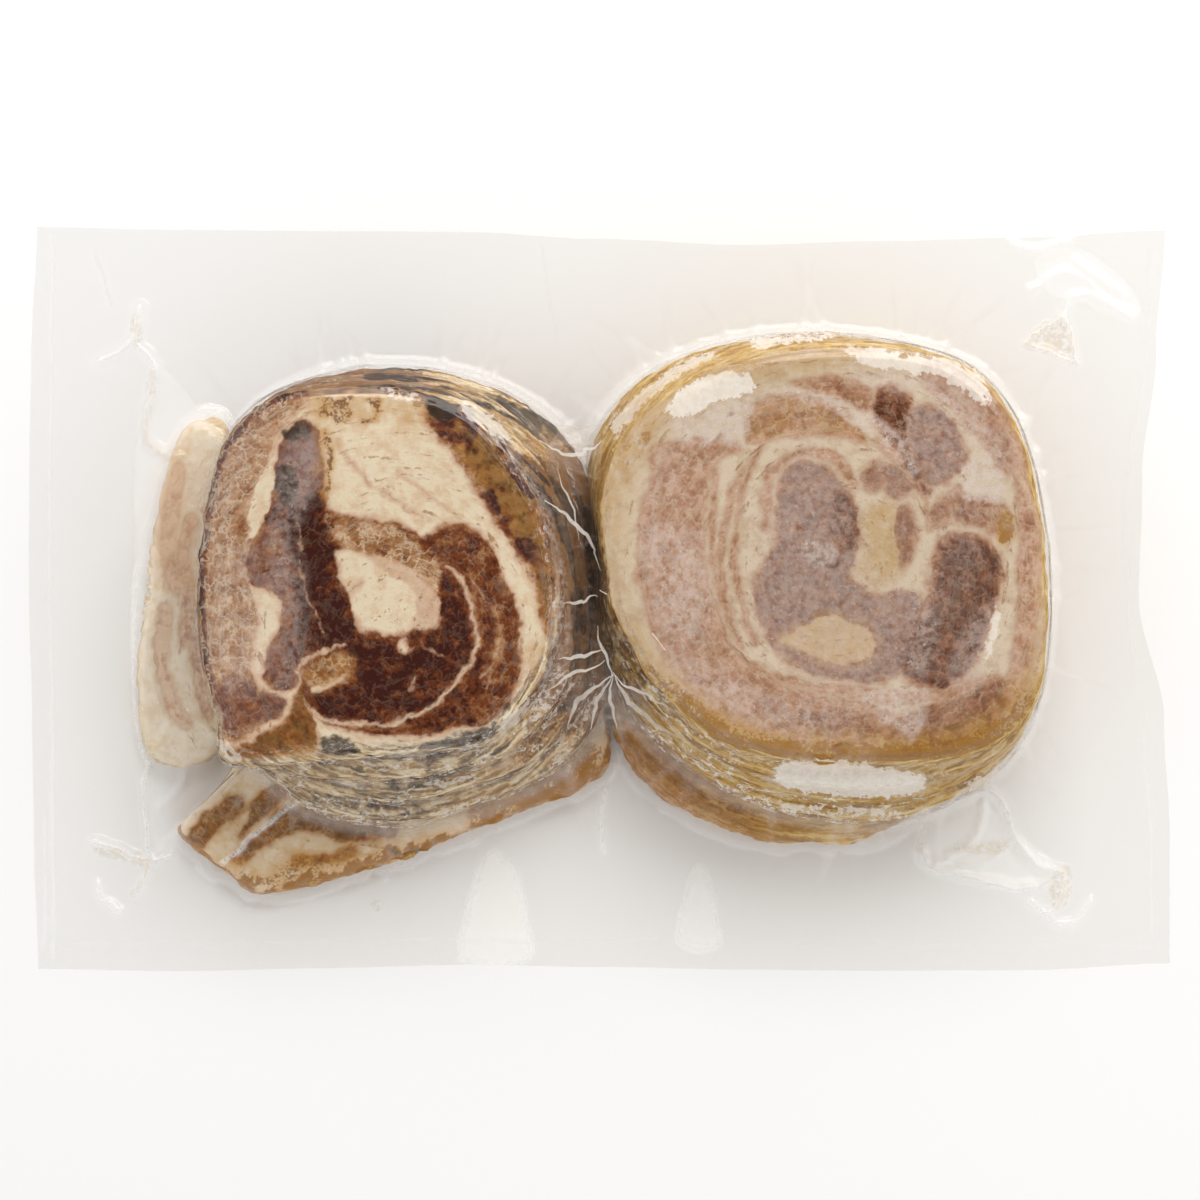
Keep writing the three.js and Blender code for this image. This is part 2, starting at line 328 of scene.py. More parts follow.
def within(canvas, outline):
    """Millimetres into a closed smooth outline, below zero outside it."""
    line = smooth_line(outline, True, 5)
    line = np.vstack([line, line[:1]])
    found = close_to(line, canvas)
    across, down = canvas["across"][found], canvas["down"][found]
    inside = np.zeros(len(across), bool)
    for (ax, ay), (bx, by) in zip(line[:-1], line[1:]):
        if ay == by:
            continue
        crosses = (ay > down) != (by > down)
        inside ^= crosses & (across < (bx - ax) * (down - ay) / (by - ay) + ax)
    off = distance_to(line, across, down)
    result = np.full(len(canvas["across"]), -FAR * CANVAS_PIXEL)
    result[found] = np.where(inside, off, -off) * CANVAS_PIXEL
    return result


def along(canvas, points, width):
    """Millimetres into a smooth stroke of a width in pixels."""
    line = smooth_line(points, False, 5)
    found = close_to(line, canvas)
    off = distance_to(line, canvas["across"][found], canvas["down"][found])
    result = np.full(len(canvas["across"]), -FAR * CANVAS_PIXEL)
    result[found] = (width / 2 - off) * CANVAS_PIXEL
    return result


def tint(canvas, layer, amount, area, soft):
    """Moves a layer towards an amount inside an area, over a soft edge in millimetres."""
    values = canvas["layers"][layer]
    values += (amount - values) * soft_step(area, -soft / 2, soft / 2)


def lay_fat(canvas, area):
    canvas["layers"]["fat"] = np.maximum(canvas["layers"]["fat"], area)


def lay_lean(canvas, area, tone, mauve=0.0, soft=2.0):
    canvas["layers"]["fat"] = np.minimum(canvas["layers"]["fat"], -area)
    tint(canvas, "tone", tone, area, soft)
    tint(canvas, "mauve", mauve, area, soft)


# Braised pork: wet lean that has gone pinkish brown to maroon, with cream fat
# that took up amber soy stock. Lean shows bundles of fibre with fat between them,
# real ones some 2 mm across and drawn here at 3.6 mm so that they can be seen.
# Everything runs in thin layers round the roll. The film lies wet on the cut
# face, so the gloss is the film's and the meat is dull.


def linear(code):
    """A colour from its sRGB hex code."""
    parts = [int(code[i : i + 2], 16) / 255 for i in (1, 3, 5)]
    return tuple(c / 12.92 if c <= 0.04045 else ((c + 0.055) / 1.055) ** 2.4 for c in parts) + (1,)


def add(tree, kind, inputs=None, **settings):
    """A new node with its settings, and its inputs set or linked."""
    made = tree.nodes.new(kind)
    for name, value in settings.items():
        setattr(made, name, value)
    for name, value in (inputs or {}).items():
        if isinstance(value, bpy.types.NodeSocket):
            tree.links.new(value, made.inputs[name])
        else:
            made.inputs[name].default_value = value
    return made


def new_material(name):
    material = bpy.data.materials.new(name)
    material.use_nodes = True
    material.node_tree.nodes.clear()
    return material, material.node_tree


def shades(tree, value, stops):
    """Colour socket of a ramp through named colours, given as (place, hex code) pairs."""
    ramp = add(tree, "ShaderNodeValToRGB", {"Fac": value})
    elements = ramp.color_ramp.elements
    elements[0].position, elements[0].color = stops[0][0], linear(stops[0][1])
    elements[1].position, elements[1].color = stops[-1][0], linear(stops[-1][1])
    for place, code in stops[1:-1]:
        elements.new(place).color = linear(code)
    return ramp.outputs["Color"]


BUNDLE_SHIFT = 7 * MM  # how far the bundles of fibre are pushed out of a plain grid


def shader_tools(tree):
    """Ways to read a painted layer, work a sum, step softly and mix two colours."""

    def layer(title, socket="Fac"):
        return add(tree, "ShaderNodeAttribute", attribute_name=title).outputs[socket]

    def maths(operation, *values, clamp=False):
        numbered = dict(enumerate(values))
        return add(tree, "ShaderNodeMath", numbered, operation=operation, use_clamp=clamp).outputs[0]

    def between(value, low, high):
        limits = {"Value": value, "From Min": low, "From Max": high}
        made = add(tree, "ShaderNodeMapRange", limits, interpolation_type="SMOOTHSTEP")
        return made.outputs["Result"]

    def mixed(factor, first, second):
        colours = {0: factor, 6: first, 7: second}
        made = add(tree, "ShaderNodeMix", colours, data_type="RGBA", clamp_factor=True)
        return made.outputs[2]

    return layer, maths, between, mixed


def braised_pork(name, lean, fat, layer_brown, bloom, stock, scorched, rind):
    material, tree = new_material(name)
    layer, maths, between, mixed = shader_tools(tree)
    place = add(tree, "ShaderNodeTexCoord").outputs["Object"]
    patches = {"Vector": place, "Scale": 1 / (3.4 * MM), "Detail": 3, "Roughness": 0.62}
    wander = add(tree, "ShaderNodeTexNoise", patches).outputs["Color"]
    parts = add(tree, "ShaderNodeSeparateXYZ", {0: wander})
    patch_a, patch_b, patch_c = parts.outputs
    fine = {"Vector": place, "Scale": 1 / (0.7 * MM), "Detail": 1}
    grain = add(tree, "ShaderNodeTexNoise", fine).outputs["Fac"]
    pulled = {0: wander, 1: (1.3, 1.3, 1.3), 2: layer("run", "Vector")}
    run = add(tree, "ShaderNodeVectorMath", pulled, operation="MULTIPLY_ADD").outputs[0]
    layered = {"Vector": run, "Scale": 1.0, "Detail": 2, "Roughness": 0.6}
    streak = add(tree, "ShaderNodeTexNoise", layered).outputs["Fac"]
    shift = {0: wander, 1: (BUNDLE_SHIFT,) * 3, 2: place}
    shifted = add(tree, "ShaderNodeVectorMath", shift, operation="MULTIPLY_ADD").outputs[0]
    bundle = {"Vector": shifted, "Scale": 1 / (3.6 * MM)}
    bundles = add(tree, "ShaderNodeTexVoronoi", bundle, feature="DISTANCE_TO_EDGE").outputs["Distance"]

    # the edge between fat and lean, soft and ragged along the layers
    ragged = maths("MULTIPLY_ADD", patch_a, 1.5, maths("MULTIPLY_ADD", streak, 0.8, -1.15))
    into_fat = maths("ADD", layer("fat"), ragged)
    fat_mask = between(into_fat, -0.5, 0.6)

    # lean, from pinkish brown to maroon, in rounded bundles netted with fat
    depth = maths("MULTIPLY_ADD", patch_b, 1.5, maths("MULTIPLY_ADD", streak, 0.9, -1.26))
    depth = maths("MULTIPLY_ADD", between(bundles, 0.02, 0.3), 0.07, depth)
    depth = maths("MULTIPLY_ADD", between(into_fat, -2.0, -0.2), -0.14, depth)
    depth = maths("MULTIPLY_ADD", grain, 0.3, maths("ADD", depth, -0.12))
    depth = maths("ADD", depth, layer("tone"))
    lean_colour = shades(tree, depth, list(zip((0.0, 0.33, 0.66, 1.0), lean)))
    thin = maths("MULTIPLY_ADD", patch_a, 0.34, -0.04)
    net = maths("SUBTRACT", 1.0, between(bundles, 0.01, thin))
    net = maths("MULTIPLY", net, between(patch_c, 0.38, 0.56))
    threads = maths("MULTIPLY", between(streak, 0.55, 0.68), 0.75)
    marbling = maths("MULTIPLY", maths("MAXIMUM", net, threads), layer("marble"), clamp=True)
    lean_colour = mixed(maths("MULTIPLY", marbling, 0.7), lean_colour, linear(fat[0]))
    bloomed = maths("MULTIPLY", layer("mauve"), between(patch_c, 0.25, 0.6))
    lean_colour = mixed(maths("MULTIPLY", bloomed, 0.8), lean_colour, linear(bloom))

    # fat, cream inside and tan towards the lean, clouded, with thin brown layers
    inside = between(maths("MULTIPLY_ADD", patch_c, 2.4, maths("ADD", layer("fat"), -1.2)), -0.5, 1.9)
    fat_colour = mixed(inside, linear(fat[2]), linear(fat[0]))
    fat_colour = mixed(maths("MULTIPLY", between(patch_b, 0.42, 0.7), 0.7), fat_colour, linear(fat[1]))
    seam = maths("MULTIPLY", between(streak, 0.58, 0.68), between(patch_a, 0.4, 0.58))
    fat_colour = mixed(maths("MULTIPLY", seam, 0.65), fat_colour, linear(layer_brown))

    # the skin side, in broad soft layers
    skin = maths("MULTIPLY_ADD", streak, 1.7, maths("MULTIPLY_ADD", patch_a, 0.4, -0.55))
    rind_colour = shades(tree, skin, rind)

    colour = mixed(fat_mask, lean_colour, fat_colour)
    colour = mixed(layer("rim"), colour, rind_colour)
    stained = maths("MULTIPLY", layer("stain"), between(patch_c, 0.2, 0.6), clamp=True)
    colour = mixed(maths("MULTIPLY", stained, 0.85), colour, linear(stock[0]))
    pooled = between(maths("MULTIPLY", layer("stain"), maths("ADD", patch_a, grain)), 0.7, 0.95)
    colour = mixed(maths("MULTIPLY", pooled, 0.7), colour, linear(stock[1]))
    # scorched colour: real char on the rind, and painted shade where the walls face the gap between
    # the stacks
    burnt_and_shaded = between(maths("MULTIPLY_ADD", patch_a, 0.9, layer("char")), 0.8, 1.12)
    colour = mixed(maths("MULTIPLY", burnt_and_shaded, 0.9), colour, linear(scorched))

    height = maths("MULTIPLY_ADD", streak, 0.8, maths("MULTIPLY", fat_mask, 0.35))
    height = maths("MULTIPLY_ADD", grain, 0.3, height)
    bump = add(tree, "ShaderNodeBump", {"Height": height, "Strength": 0.5, "Distance": 0.5 * MM})
    dull = {"Roughness": 0.6, "IOR": 1.4, "Specular IOR Level": 0.15}
    shader = add(
        tree, "ShaderNodeBsdfPrincipled", {"Base Color": colour, "Normal": bump.outputs[0], **dull}
    )
    add(tree, "ShaderNodeOutputMaterial", {"Surface": shader.outputs[0]})
    return material


# ---------------------------------------------------------------------------
# The right stack: four slices of a pale, fatty roll, each about 113 mm across
# and 8.4 mm thick, slipped a little towards the near edge. The rind is yellow
# fat stained by stock, the lean pinkish brown with a grey bloom at the core.

pale_pork = braised_pork(
    "braised_pork_pale",
    lean=("#c19c85", "#a87c5d", "#85563d", "#51270e"),
    fat=("#cdbaa0", "#b5997b", "#b08b72"),
    layer_brown="#8a5a3a",
    bloom="#8a7066",
    stock=("#b3873a", "#8f5f22"),
    # on the pale stack this colour is only painted shade, on the walls that face the gap
    scorched="#5a3413",
    rind=((0.25, "#e0cb9c"), (0.43, "#d0ad66"), (0.58, "#ba8f3c"), (0.75, "#8f682c")),
)

RIGHT_CENTRE = (57 * MM, 8 * MM)
RIGHT_TOP = [
    (1, 5), (0.5, 30), (13, 50.5), (36, 62), (66, 65.5), (92, 60.5), (108, 41), (114, 8),
    (112, -24), (96, -40), (64, -42.5), (34, -38.5), (14, -23), (4, -6),
]
RIGHT_FOOT = [
    (-1, 8), (-3, 38), (12, 58.5), (42, 69), (78, 67.5), (104, 55), (116, 21), (116.5, -15),
    (107, -41), (80, -57), (44, -54), (15, -37), (1, -14),
]
INSET = 0.6 * MM


def in_metres(points):
    return [(x * MM, y * MM) for x, y in points]


def stack_outline(centre, top, foot):
    """Radius of a stack at any level, passing evenly from the top outline to the foot's."""
    top_radius = round_outline(in_metres(top), centre)
    foot_radius = round_outline(in_metres(foot), centre)

    def radius(theta, level):
        part = np.clip(level / (LEVELS - 2), 0, 1)
        return top_radius(theta) * (1 - part) + foot_radius(theta) * part

    return radius


right_radius = stack_outline(RIGHT_CENTRE, RIGHT_TOP, RIGHT_FOOT)

# Cut face of the top slice, as outlines in the photograph's pixels.
PALE_CORE_PLACE = (838, 565)
PALE_OUTER_LEFT = [
    (656, 448), (690, 440), (733, 441), (736, 450), (718, 461), (709, 478), (704, 509), (704, 544),
    (709, 585), (717, 616), (732, 647), (758, 672), (789, 687), (825, 697), (861, 704), (890, 712),
    (892, 730), (872, 746), (850, 750), (820, 744), (790, 738), (760, 733), (730, 724), (704, 706),
    (682, 680), (660, 650), (647, 615), (640, 585), (638, 555), (640, 524), (646, 493), (652, 468),
]
PALE_FLOOR_DEEP = [
    (760, 700), (800, 704), (836, 708), (868, 718), (880, 736), (850, 744), (812, 734), (776, 722),
]
PALE_TOP_TAN = [
    (748, 412), (762, 400), (788, 397), (815, 400), (842, 411), (858, 428), (866, 442), (845, 438),
    (815, 433), (788, 436), (765, 442), (748, 436),
]
PALE_TOP_THIN = [(790, 382), (830, 377), (858, 384), (869, 396), (865, 409), (845, 402), (818, 392)]
PALE_DARK_STRIP = [
    (873, 396), (882, 385), (900, 388), (913, 405), (906, 424), (908, 444), (917, 462), (929, 482),
    (932, 494), (918, 494), (906, 472), (892, 448), (876, 424),
]
PALE_MAUVE = [
    (908, 412), (926, 404), (944, 412), (960, 436), (966, 462), (950, 480), (930, 484), (918, 468),
    (908, 440),
]
PALE_TOP_RIGHT = [
    (925, 362), (950, 364), (974, 376), (996, 396), (1010, 430), (1016, 462), (1000, 470),
    (985, 448), (965, 420), (944, 398), (922, 384),
]
PALE_LOW_PATCH = [(862, 474), (880, 460), (898, 468), (910, 488), (900, 500), (884, 490), (868, 488)]
PALE_LEAN_SLIVER = [(893, 520), (904, 504), (914, 520), (912, 548), (900, 572), (892, 552)]
PALE_RIGHT_BAR = [
    (930, 512), (942, 500), (956, 486), (968, 498), (1000, 502), (1006, 520),
    (1000, 536), (974, 524), (950, 522), (936, 528),
]
PALE_RIGHT_DARK = [
    (942, 538), (956, 533), (978, 536), (996, 546), (1003, 568), (999, 594), (990, 620), (984, 648),
    (970, 672), (946, 688), (918, 688), (900, 670), (904, 640), (918, 618), (928, 596), (932, 568),
]
PALE_CORE = [
    (778, 500), (784, 474), (802, 461), (820, 463), (836, 476), (849, 496), (859, 518), (860, 545),
    (852, 562), (860, 586), (880, 596), (904, 592), (922, 604), (912, 640), (905, 668), (882, 682),
    (850, 682), (818, 676), (790, 662), (770, 642), (757, 618), (754, 590), (760, 568), (774, 550),
    (776, 526),
]
PALE_CORE_BROWN = [(824, 506), (840, 494), (854, 508), (860, 530), (854, 550), (840, 546), (828, 526)]
PALE_ARCH = [
    (768, 528), (766, 500), (772, 478), (786, 460), (804, 451), (824, 453), (842, 466), (854, 484),
]
PALE_RING = [
    (990, 384), (1008, 408), (1019, 436), (1025, 470), (1028, 510), (1030, 556), (1029, 602),
    (1025, 642), (1018, 676), (1006, 700),
]
PALE_FLOOR_RIGHT = [
    (900, 716), (922, 708), (946, 702), (972, 690), (992, 676), (1004, 684), (1006, 704), (996, 726),
    (976, 744), (950, 752), (920, 756), (894, 750), (888, 732),
]
PALE_STREAKS = [
    [(726, 652), (765, 672), (810, 686), (860, 690), (905, 694), (950, 692), (985, 676)],
    [(745, 664), (790, 682), (840, 694), (890, 700), (940, 698), (975, 684)],
    [(742, 470), (728, 510), (722, 560), (726, 610), (742, 646)],
    [(760, 450), (746, 480), (738, 520), (736, 570), (744, 615), (756, 640)],
    [(880, 440), (905, 470), (925, 500), (930, 530)],
    [(716, 470), (712, 520), (716, 580), (728, 626)],
]
PALE_CREAM_PATCH = [
    (778, 640), (800, 624), (830, 610), (850, 620), (872, 628), (880, 648), (864, 664), (838, 668),
    (812, 660),
]
PALE_FAT_WELL = [
    (862, 514), (880, 500), (896, 504), (894, 530), (900, 560), (896, 582), (876, 588), (856, 576),
    (864, 548),
]
PALE_STAR_SPOT = [(834, 748), (842, 743), (850, 748), (846, 754), (838, 755)]
PALE_AMBER_SPOTS = [
    [(1000, 512), (1012, 514), (1016, 530), (1006, 546), (998, 534)],
    [(640, 430), (650, 428), (654, 438), (646, 446), (639, 440)],
]


def paint_pale_face(canvas):
    layers = canvas["layers"]
    lay_lean(canvas, within(canvas, PALE_OUTER_LEFT), 0.3, mauve=0.15)
    tint(canvas, "tone", 0.55, within(canvas, PALE_FLOOR_DEEP), 8)
    lay_lean(canvas, within(canvas, PALE_TOP_TAN), 0.36)
    tint(canvas, "stain", 0.3, within(canvas, PALE_TOP_TAN), 3)
    lay_lean(canvas, within(canvas, PALE_TOP_THIN), 0.5)
    lay_lean(canvas, along(canvas, PALE_RING, 20), 0.22)
    lay_lean(canvas, within(canvas, PALE_TOP_RIGHT), 0.32, mauve=0.3)
    lay_lean(canvas, within(canvas, PALE_MAUVE), 0.62, mauve=0.7)
    lay_lean(canvas, within(canvas, PALE_LOW_PATCH), 0.5, mauve=0.5)
    lay_lean(canvas, within(canvas, PALE_LEAN_SLIVER), 0.5, mauve=0.6)
    lay_lean(canvas, within(canvas, PALE_DARK_STRIP), 0.85)
    lay_lean(canvas, within(canvas, PALE_RIGHT_BAR), 0.5, mauve=0.2)
    lay_lean(canvas, within(canvas, PALE_CORE), 0.6, mauve=0.85, soft=3)
    lay_lean(canvas, within(canvas, PALE_RIGHT_DARK), 0.92, mauve=0.25, soft=6)
    tint(canvas, "mauve", 0.05, within(canvas, PALE_CORE_BROWN), 3)
    tint(canvas, "tone", 0.85, within(canvas, PALE_CORE_BROWN), 3)
    lay_lean(canvas, along(canvas, PALE_ARCH, 6), 0.42)
    lay_lean(canvas, within(canvas, PALE_FLOOR_RIGHT), 0.6, mauve=0.2)
    for streak in PALE_STREAKS:
        lay_lean(canvas, along(canvas, streak, 3), 0.35, soft=1)
    tint(canvas, "stain", 0.5, within(canvas, PALE_CREAM_PATCH), 4)
    tint(canvas, "fat", 1.2, within(canvas, PALE_CREAM_PATCH), 4)
    tint(canvas, "stain", 0.55, within(canvas, PALE_FAT_WELL), 4)
    tint(canvas, "fat", 2.0, within(canvas, PALE_FAT_WELL), 4)
    for spot in PALE_AMBER_SPOTS:
        tint(canvas, "stain", 1.0, within(canvas, spot), 2)
    lay_lean(canvas, within(canvas, PALE_STAR_SPOT), 1.1, soft=0.5)
    layers["marble"] = np.clip(0.8 - 0.6 * layers["tone"], 0.15, 1.0)


def paint_pale_rind(canvas, angle, share, depth, level):
    """The yellow, stock-stained band round the rim, broad at the near side."""
    layers = canvas["layers"]
    near_side = soft_step(-np.sin(angle), -0.1, 0.9)
    far_left = soft_step(np.cos(angle - 2.2), 0.1, 0.95)
    left_side = soft_step(np.cos(angle - 3.3), 0.5, 1)
    broad = 0.03 + 0.1 * near_side + 0.08 * far_left
    rind = soft_step(share, 1 - broad * 1.8, 1 - broad * 0.4)
    amount = 0.2 + 0.85 * near_side + 0.45 * far_left
    layers["stain"] = np.maximum(layers["stain"], rind * amount)
    wall = (depth > 0) | (level > 0)
    layers["rim"][wall] = 1
    layers["rim"] = np.maximum(layers["rim"], soft_step(share, 0.97, 1) * (0.2 + 0.8 * near_side))
    amber = soft_step(bumps(layers["run"].T, 1.7, 29 + level), -0.2, 0.8)
    # the walls that face the gap get more amber: partly stock juice, partly painted shade of the
    # narrow gap
    layers["stain"][wall] = (0.1 + 0.5 * amber + 0.2 * far_left + 0.2 * left_side)[wall]
    # painted shade: scorched colour on the walls that face the narrow gap between the stacks
    shade_towards_gap = soft_step(np.cos(angle - 3.4), 0.75, 0.98)
    layers["char"] = np.where(wall, 0.55 * shade_towards_gap, layers["char"])


def pale_slice(level, cells):
    def radius(theta):
        return right_radius(theta, level) - INSET

    mesh, angle, share, depth = slice_drum(RIGHT_CENTRE, radius, level, cells, level)
    canvas = new_canvas(mesh, PALE_CORE_PLACE, fat=2.5, tone=0.4)
    if level == 0:
        paint_pale_face(canvas)
    paint_pale_rind(canvas, angle, share, depth, level)
    write_layers(mesh, canvas["layers"])
    closed_up(mesh)
    return piece_of(f"pale_slice_{level + 1}", mesh, pale_pork, "pork")


TOP_CELLS = 220
LOWER_CELLS = 90

for level in range(LEVELS - 1):
    pale_slice(level, LOWER_CELLS if level else TOP_CELLS)

# ---------------------------------------------------------------------------
# The left stack: four slices of a darker, leaner roll, about 95 mm across. Its
# rind was scorched before braising, so the rims are black, olive and cream,
# and the spiral of maroon lean winds round a core of cream fat.

dark_pork = braised_pork(
    "braised_pork_dark",
    lean=("#bb9472", "#986a42", "#6e3614", "#380c00"),
    fat=("#ddcbae", "#cdac88", "#bd9378"),
    layer_brown="#8a5830",
    bloom="#8a6c66",
    stock=("#b5843e", "#5f3013"),
    scorched="#2e2218",
    rind=(
        (0.26, "#e8dcc2"), (0.42, "#d2b98e"), (0.54, "#a98d66"), (0.67, "#776855"),
        (0.85, "#433a33"),
    ),
)

LEFT_CENTRE = (-54 * MM, 4 * MM)
LEFT_TOP = [
    (-103, -10), (-102, 15), (-97.5, 38), (-84, 52), (-62, 55.5), (-37, 51), (-19, 33),
    (-10, 10), (-11, -13), (-22, -31), (-33, -38), (-66, -41), (-94, -42.5), (-98, -30),
]
LEFT_FOOT = [
    (-101, -10), (-100, 16), (-92, 48), (-68, 60), (-42, 60), (-18, 50.5), (-3, 32),
    (1, 0), (1, -27), (-10, -43), (-32, -54), (-53, -59), (-79, -53), (-96, -32),
]
left_radius = stack_outline(LEFT_CENTRE, LEFT_TOP, LEFT_FOOT)

DARK_CORE_PLACE = (400, 625)
DARK_OUTER_LEFT = [
    (322, 388), (294, 394), (262, 402), (234, 420), (212, 452), (200, 492), (196, 540), (198, 600),
    (202, 650), (208, 690), (212, 720), (226, 740), (246, 738), (270, 722), (290, 704), (272, 692),
    (257, 686), (251, 666), (254, 642), (257, 620), (254, 602), (247, 585), (243, 565), (246, 545),
    (251, 520), (259, 496), (262, 476), (270, 456), (281, 434), (296, 412), (310, 400),
]
DARK_SEAM_THIN = [(318, 396), (302, 408), (288, 423), (276, 443), (268, 466)]
DARK_SEAM_WHITE = [
    (271, 470), (273, 488), (267, 506), (258, 526), (252, 538), (249, 524), (254, 500), (260, 478),
]
DARK_SEAM_LOW = [(254, 540), (247, 556), (246, 572), (250, 586)]
DARK_MAIN = [
    (305, 420), (316, 426), (322, 442), (322, 465), (321, 488), (328, 507), (342, 515), (376, 520),
    (396, 522), (411, 529), (423, 538), (436, 529), (455, 525), (475, 529), (488, 542), (496, 561),
    (508, 586), (519, 615), (521, 645), (517, 679), (510, 704), (499, 719), (478, 726), (455, 730),
    (430, 734), (406, 735), (367, 735), (342, 730), (322, 722), (312, 710), (304, 700), (296, 690),
    (280, 690), (266, 684), (262, 674), (267, 655), (274, 637), (282, 618), (282, 603), (271, 592),
    (256, 585), (247, 574), (244, 560), (248, 546), (256, 533), (264, 518), (271, 500), (275, 480),
    (277, 460), (285, 438), (295, 424),
]
DARK_HEAD = [
    (285, 440), (302, 420), (318, 432), (322, 460), (316, 485), (300, 500), (280, 496), (272, 470),
]
DARK_LOBE = [
    (248, 552), (262, 530), (280, 528), (292, 560), (294, 600), (290, 640), (276, 668), (264, 660),
    (280, 620), (262, 596), (246, 575),
]
DARK_UPPER_BAND = [
    (326, 512), (342, 517), (376, 522), (398, 526), (416, 538), (432, 552), (440, 572), (436, 594),
    (422, 580), (400, 568), (370, 560), (345, 550), (330, 538),
]
DARK_CRESCENT = [
    (440, 532), (476, 530), (498, 560), (518, 606), (520, 668), (508, 706), (480, 722), (468, 712),
    (480, 690), (488, 650), (482, 610), (462, 575), (444, 560),
]
DARK_HEART = [
    (446, 580), (466, 605), (475, 640), (470, 672), (448, 700), (412, 716), (368, 722), (330, 716),
    (316, 700), (345, 692), (362, 668), (362, 642), (400, 646), (436, 624), (440, 600),
]
DARK_SPINE = [
    (296, 500), (316, 504), (330, 540), (338, 590), (354, 630), (350, 650), (318, 648), (300, 640),
    (292, 600), (288, 545),
]
CREAM_CORE = [
    (336, 551), (348, 549), (366, 553), (386, 562), (403, 570), (424, 580), (436, 600), (441, 620),
    (430, 628), (416, 630), (402, 636), (388, 636), (374, 633), (362, 630), (354, 612), (345, 592),
    (338, 571),
]
CREAM_CORE_WHITE = [
    (348, 572), (372, 574), (398, 586), (408, 602), (404, 620), (390, 628), (368, 620), (354, 600),
]
CREAM_CORE_TAN = [
    (372, 552), (403, 568), (428, 580), (440, 600), (442, 622), (426, 630), (412, 624), (414, 606),
    (402, 588), (384, 574),
]
CREAM_PATCH_LEFT = [
    (250, 584), (264, 592), (277, 601), (280, 616), (272, 636), (264, 656), (257, 678), (251, 668),
    (254, 644), (258, 620), (255, 602),
]
MAUVE_FOOT = [
    (213, 692), (232, 674), (256, 684), (280, 690), (297, 694), (294, 708), (276, 722), (254, 732),
    (232, 736), (218, 722),
]
SLATE_BAND = [(464, 402), (492, 424), (518, 454), (540, 492), (553, 540), (560, 590), (556, 640)]
SPIRAL_SEAM = [
    (445, 566), (460, 581), (470, 606), (475, 635), (471, 660), (459, 680), (440, 699), (420, 714),
    (391, 723), (357, 726), (327, 721), (312, 710),
]
FAINT_SEAMS = [
    [(470, 575), (484, 598), (497, 622), (500, 644), (492, 665), (487, 690)],
    [(500, 640), (494, 662), (480, 678)],
    [(420, 640), (440, 655), (452, 660)],
    [(412, 690), (416, 676)],
    [(300, 560), (308, 600), (322, 630)],
    [(296, 520), (300, 548)],
]
CURL_LOBE = [
    (306, 662), (325, 657), (346, 655), (357, 663), (352, 676), (338, 685), (318, 688), (305, 678),
]
CURL_EDGE = [(298, 676), (302, 662), (314, 655), (328, 651), (343, 647)]
CURL_WEDGE = [(314, 690), (326, 687), (346, 680)]
WHITE_BLOB = [(398, 643), (404, 640), (410, 645), (405, 651), (399, 649)]
DARK_FLAP = [
    (300, 684), (306, 706), (314, 722), (318, 742), (312, 757), (290, 757), (262, 759), (238, 764),
    (224, 760), (224, 750), (250, 742), (275, 728), (292, 710),
]
FLAP_EDGE = [(299, 672), (297, 690), (288, 712), (268, 727), (244, 740), (228, 746)]
DARK_OUTER_RIGHT = [
    (428, 400), (446, 399), (464, 405), (480, 414), (502, 434), (524, 464), (540, 494), (553, 530),
    (561, 566), (563, 600), (558, 630), (549, 640), (543, 622), (538, 598), (524, 566), (502, 528),
    (480, 498), (458, 462), (440, 440), (426, 420),
]
RIGHT_CREAM_TOP = [(486, 420), (506, 436), (526, 464), (516, 470), (500, 450), (484, 434)]
SCORCHED_PATCHES = [
    [(424, 398), (440, 392), (458, 394), (463, 405), (458, 418), (440, 422), (428, 414)],
    [(320, 738), (340, 736), (360, 744), (362, 755), (342, 757), (322, 750)],
    [(418, 746), (440, 738), (470, 730), (494, 722), (496, 738), (470, 750), (436, 754)],
    [(274, 470), (290, 462), (300, 476), (298, 500), (288, 510), (276, 496)],
    [(282, 430), (304, 420), (314, 432), (300, 440), (286, 444)],
]
STAINED_PATCHES = [
    [(312, 400), (345, 394), (380, 394), (378, 412), (352, 424), (326, 424), (312, 414)],
    [(392, 396), (424, 400), (425, 424), (408, 440), (396, 420)],
    [(320, 430), (334, 440), (334, 470), (328, 495), (321, 480)],
    [(296, 744), (340, 758), (330, 766), (292, 762)],
    [(530, 650), (550, 640), (550, 680), (534, 700)],
    [(540, 540), (552, 560), (560, 610), (548, 630), (540, 600)],
]
AMBER_CURLS = [
    [(312, 392), (322, 399), (341, 403), (350, 396)],
    [(322, 412), (338, 416), (350, 411)],
    [(366, 396), (378, 401), (379, 411), (364, 421)],
    [(326, 432), (331, 452), (328, 474), (323, 496)],
]
RED_VEINS = [
    [(338, 440), (350, 462), (368, 482), (386, 494), (402, 504), (428, 518)],
    [(376, 396), (380, 406), (372, 418), (362, 422)],
    [(400, 470), (430, 496), (462, 520)],
    [(348, 590), (360, 582)],
]


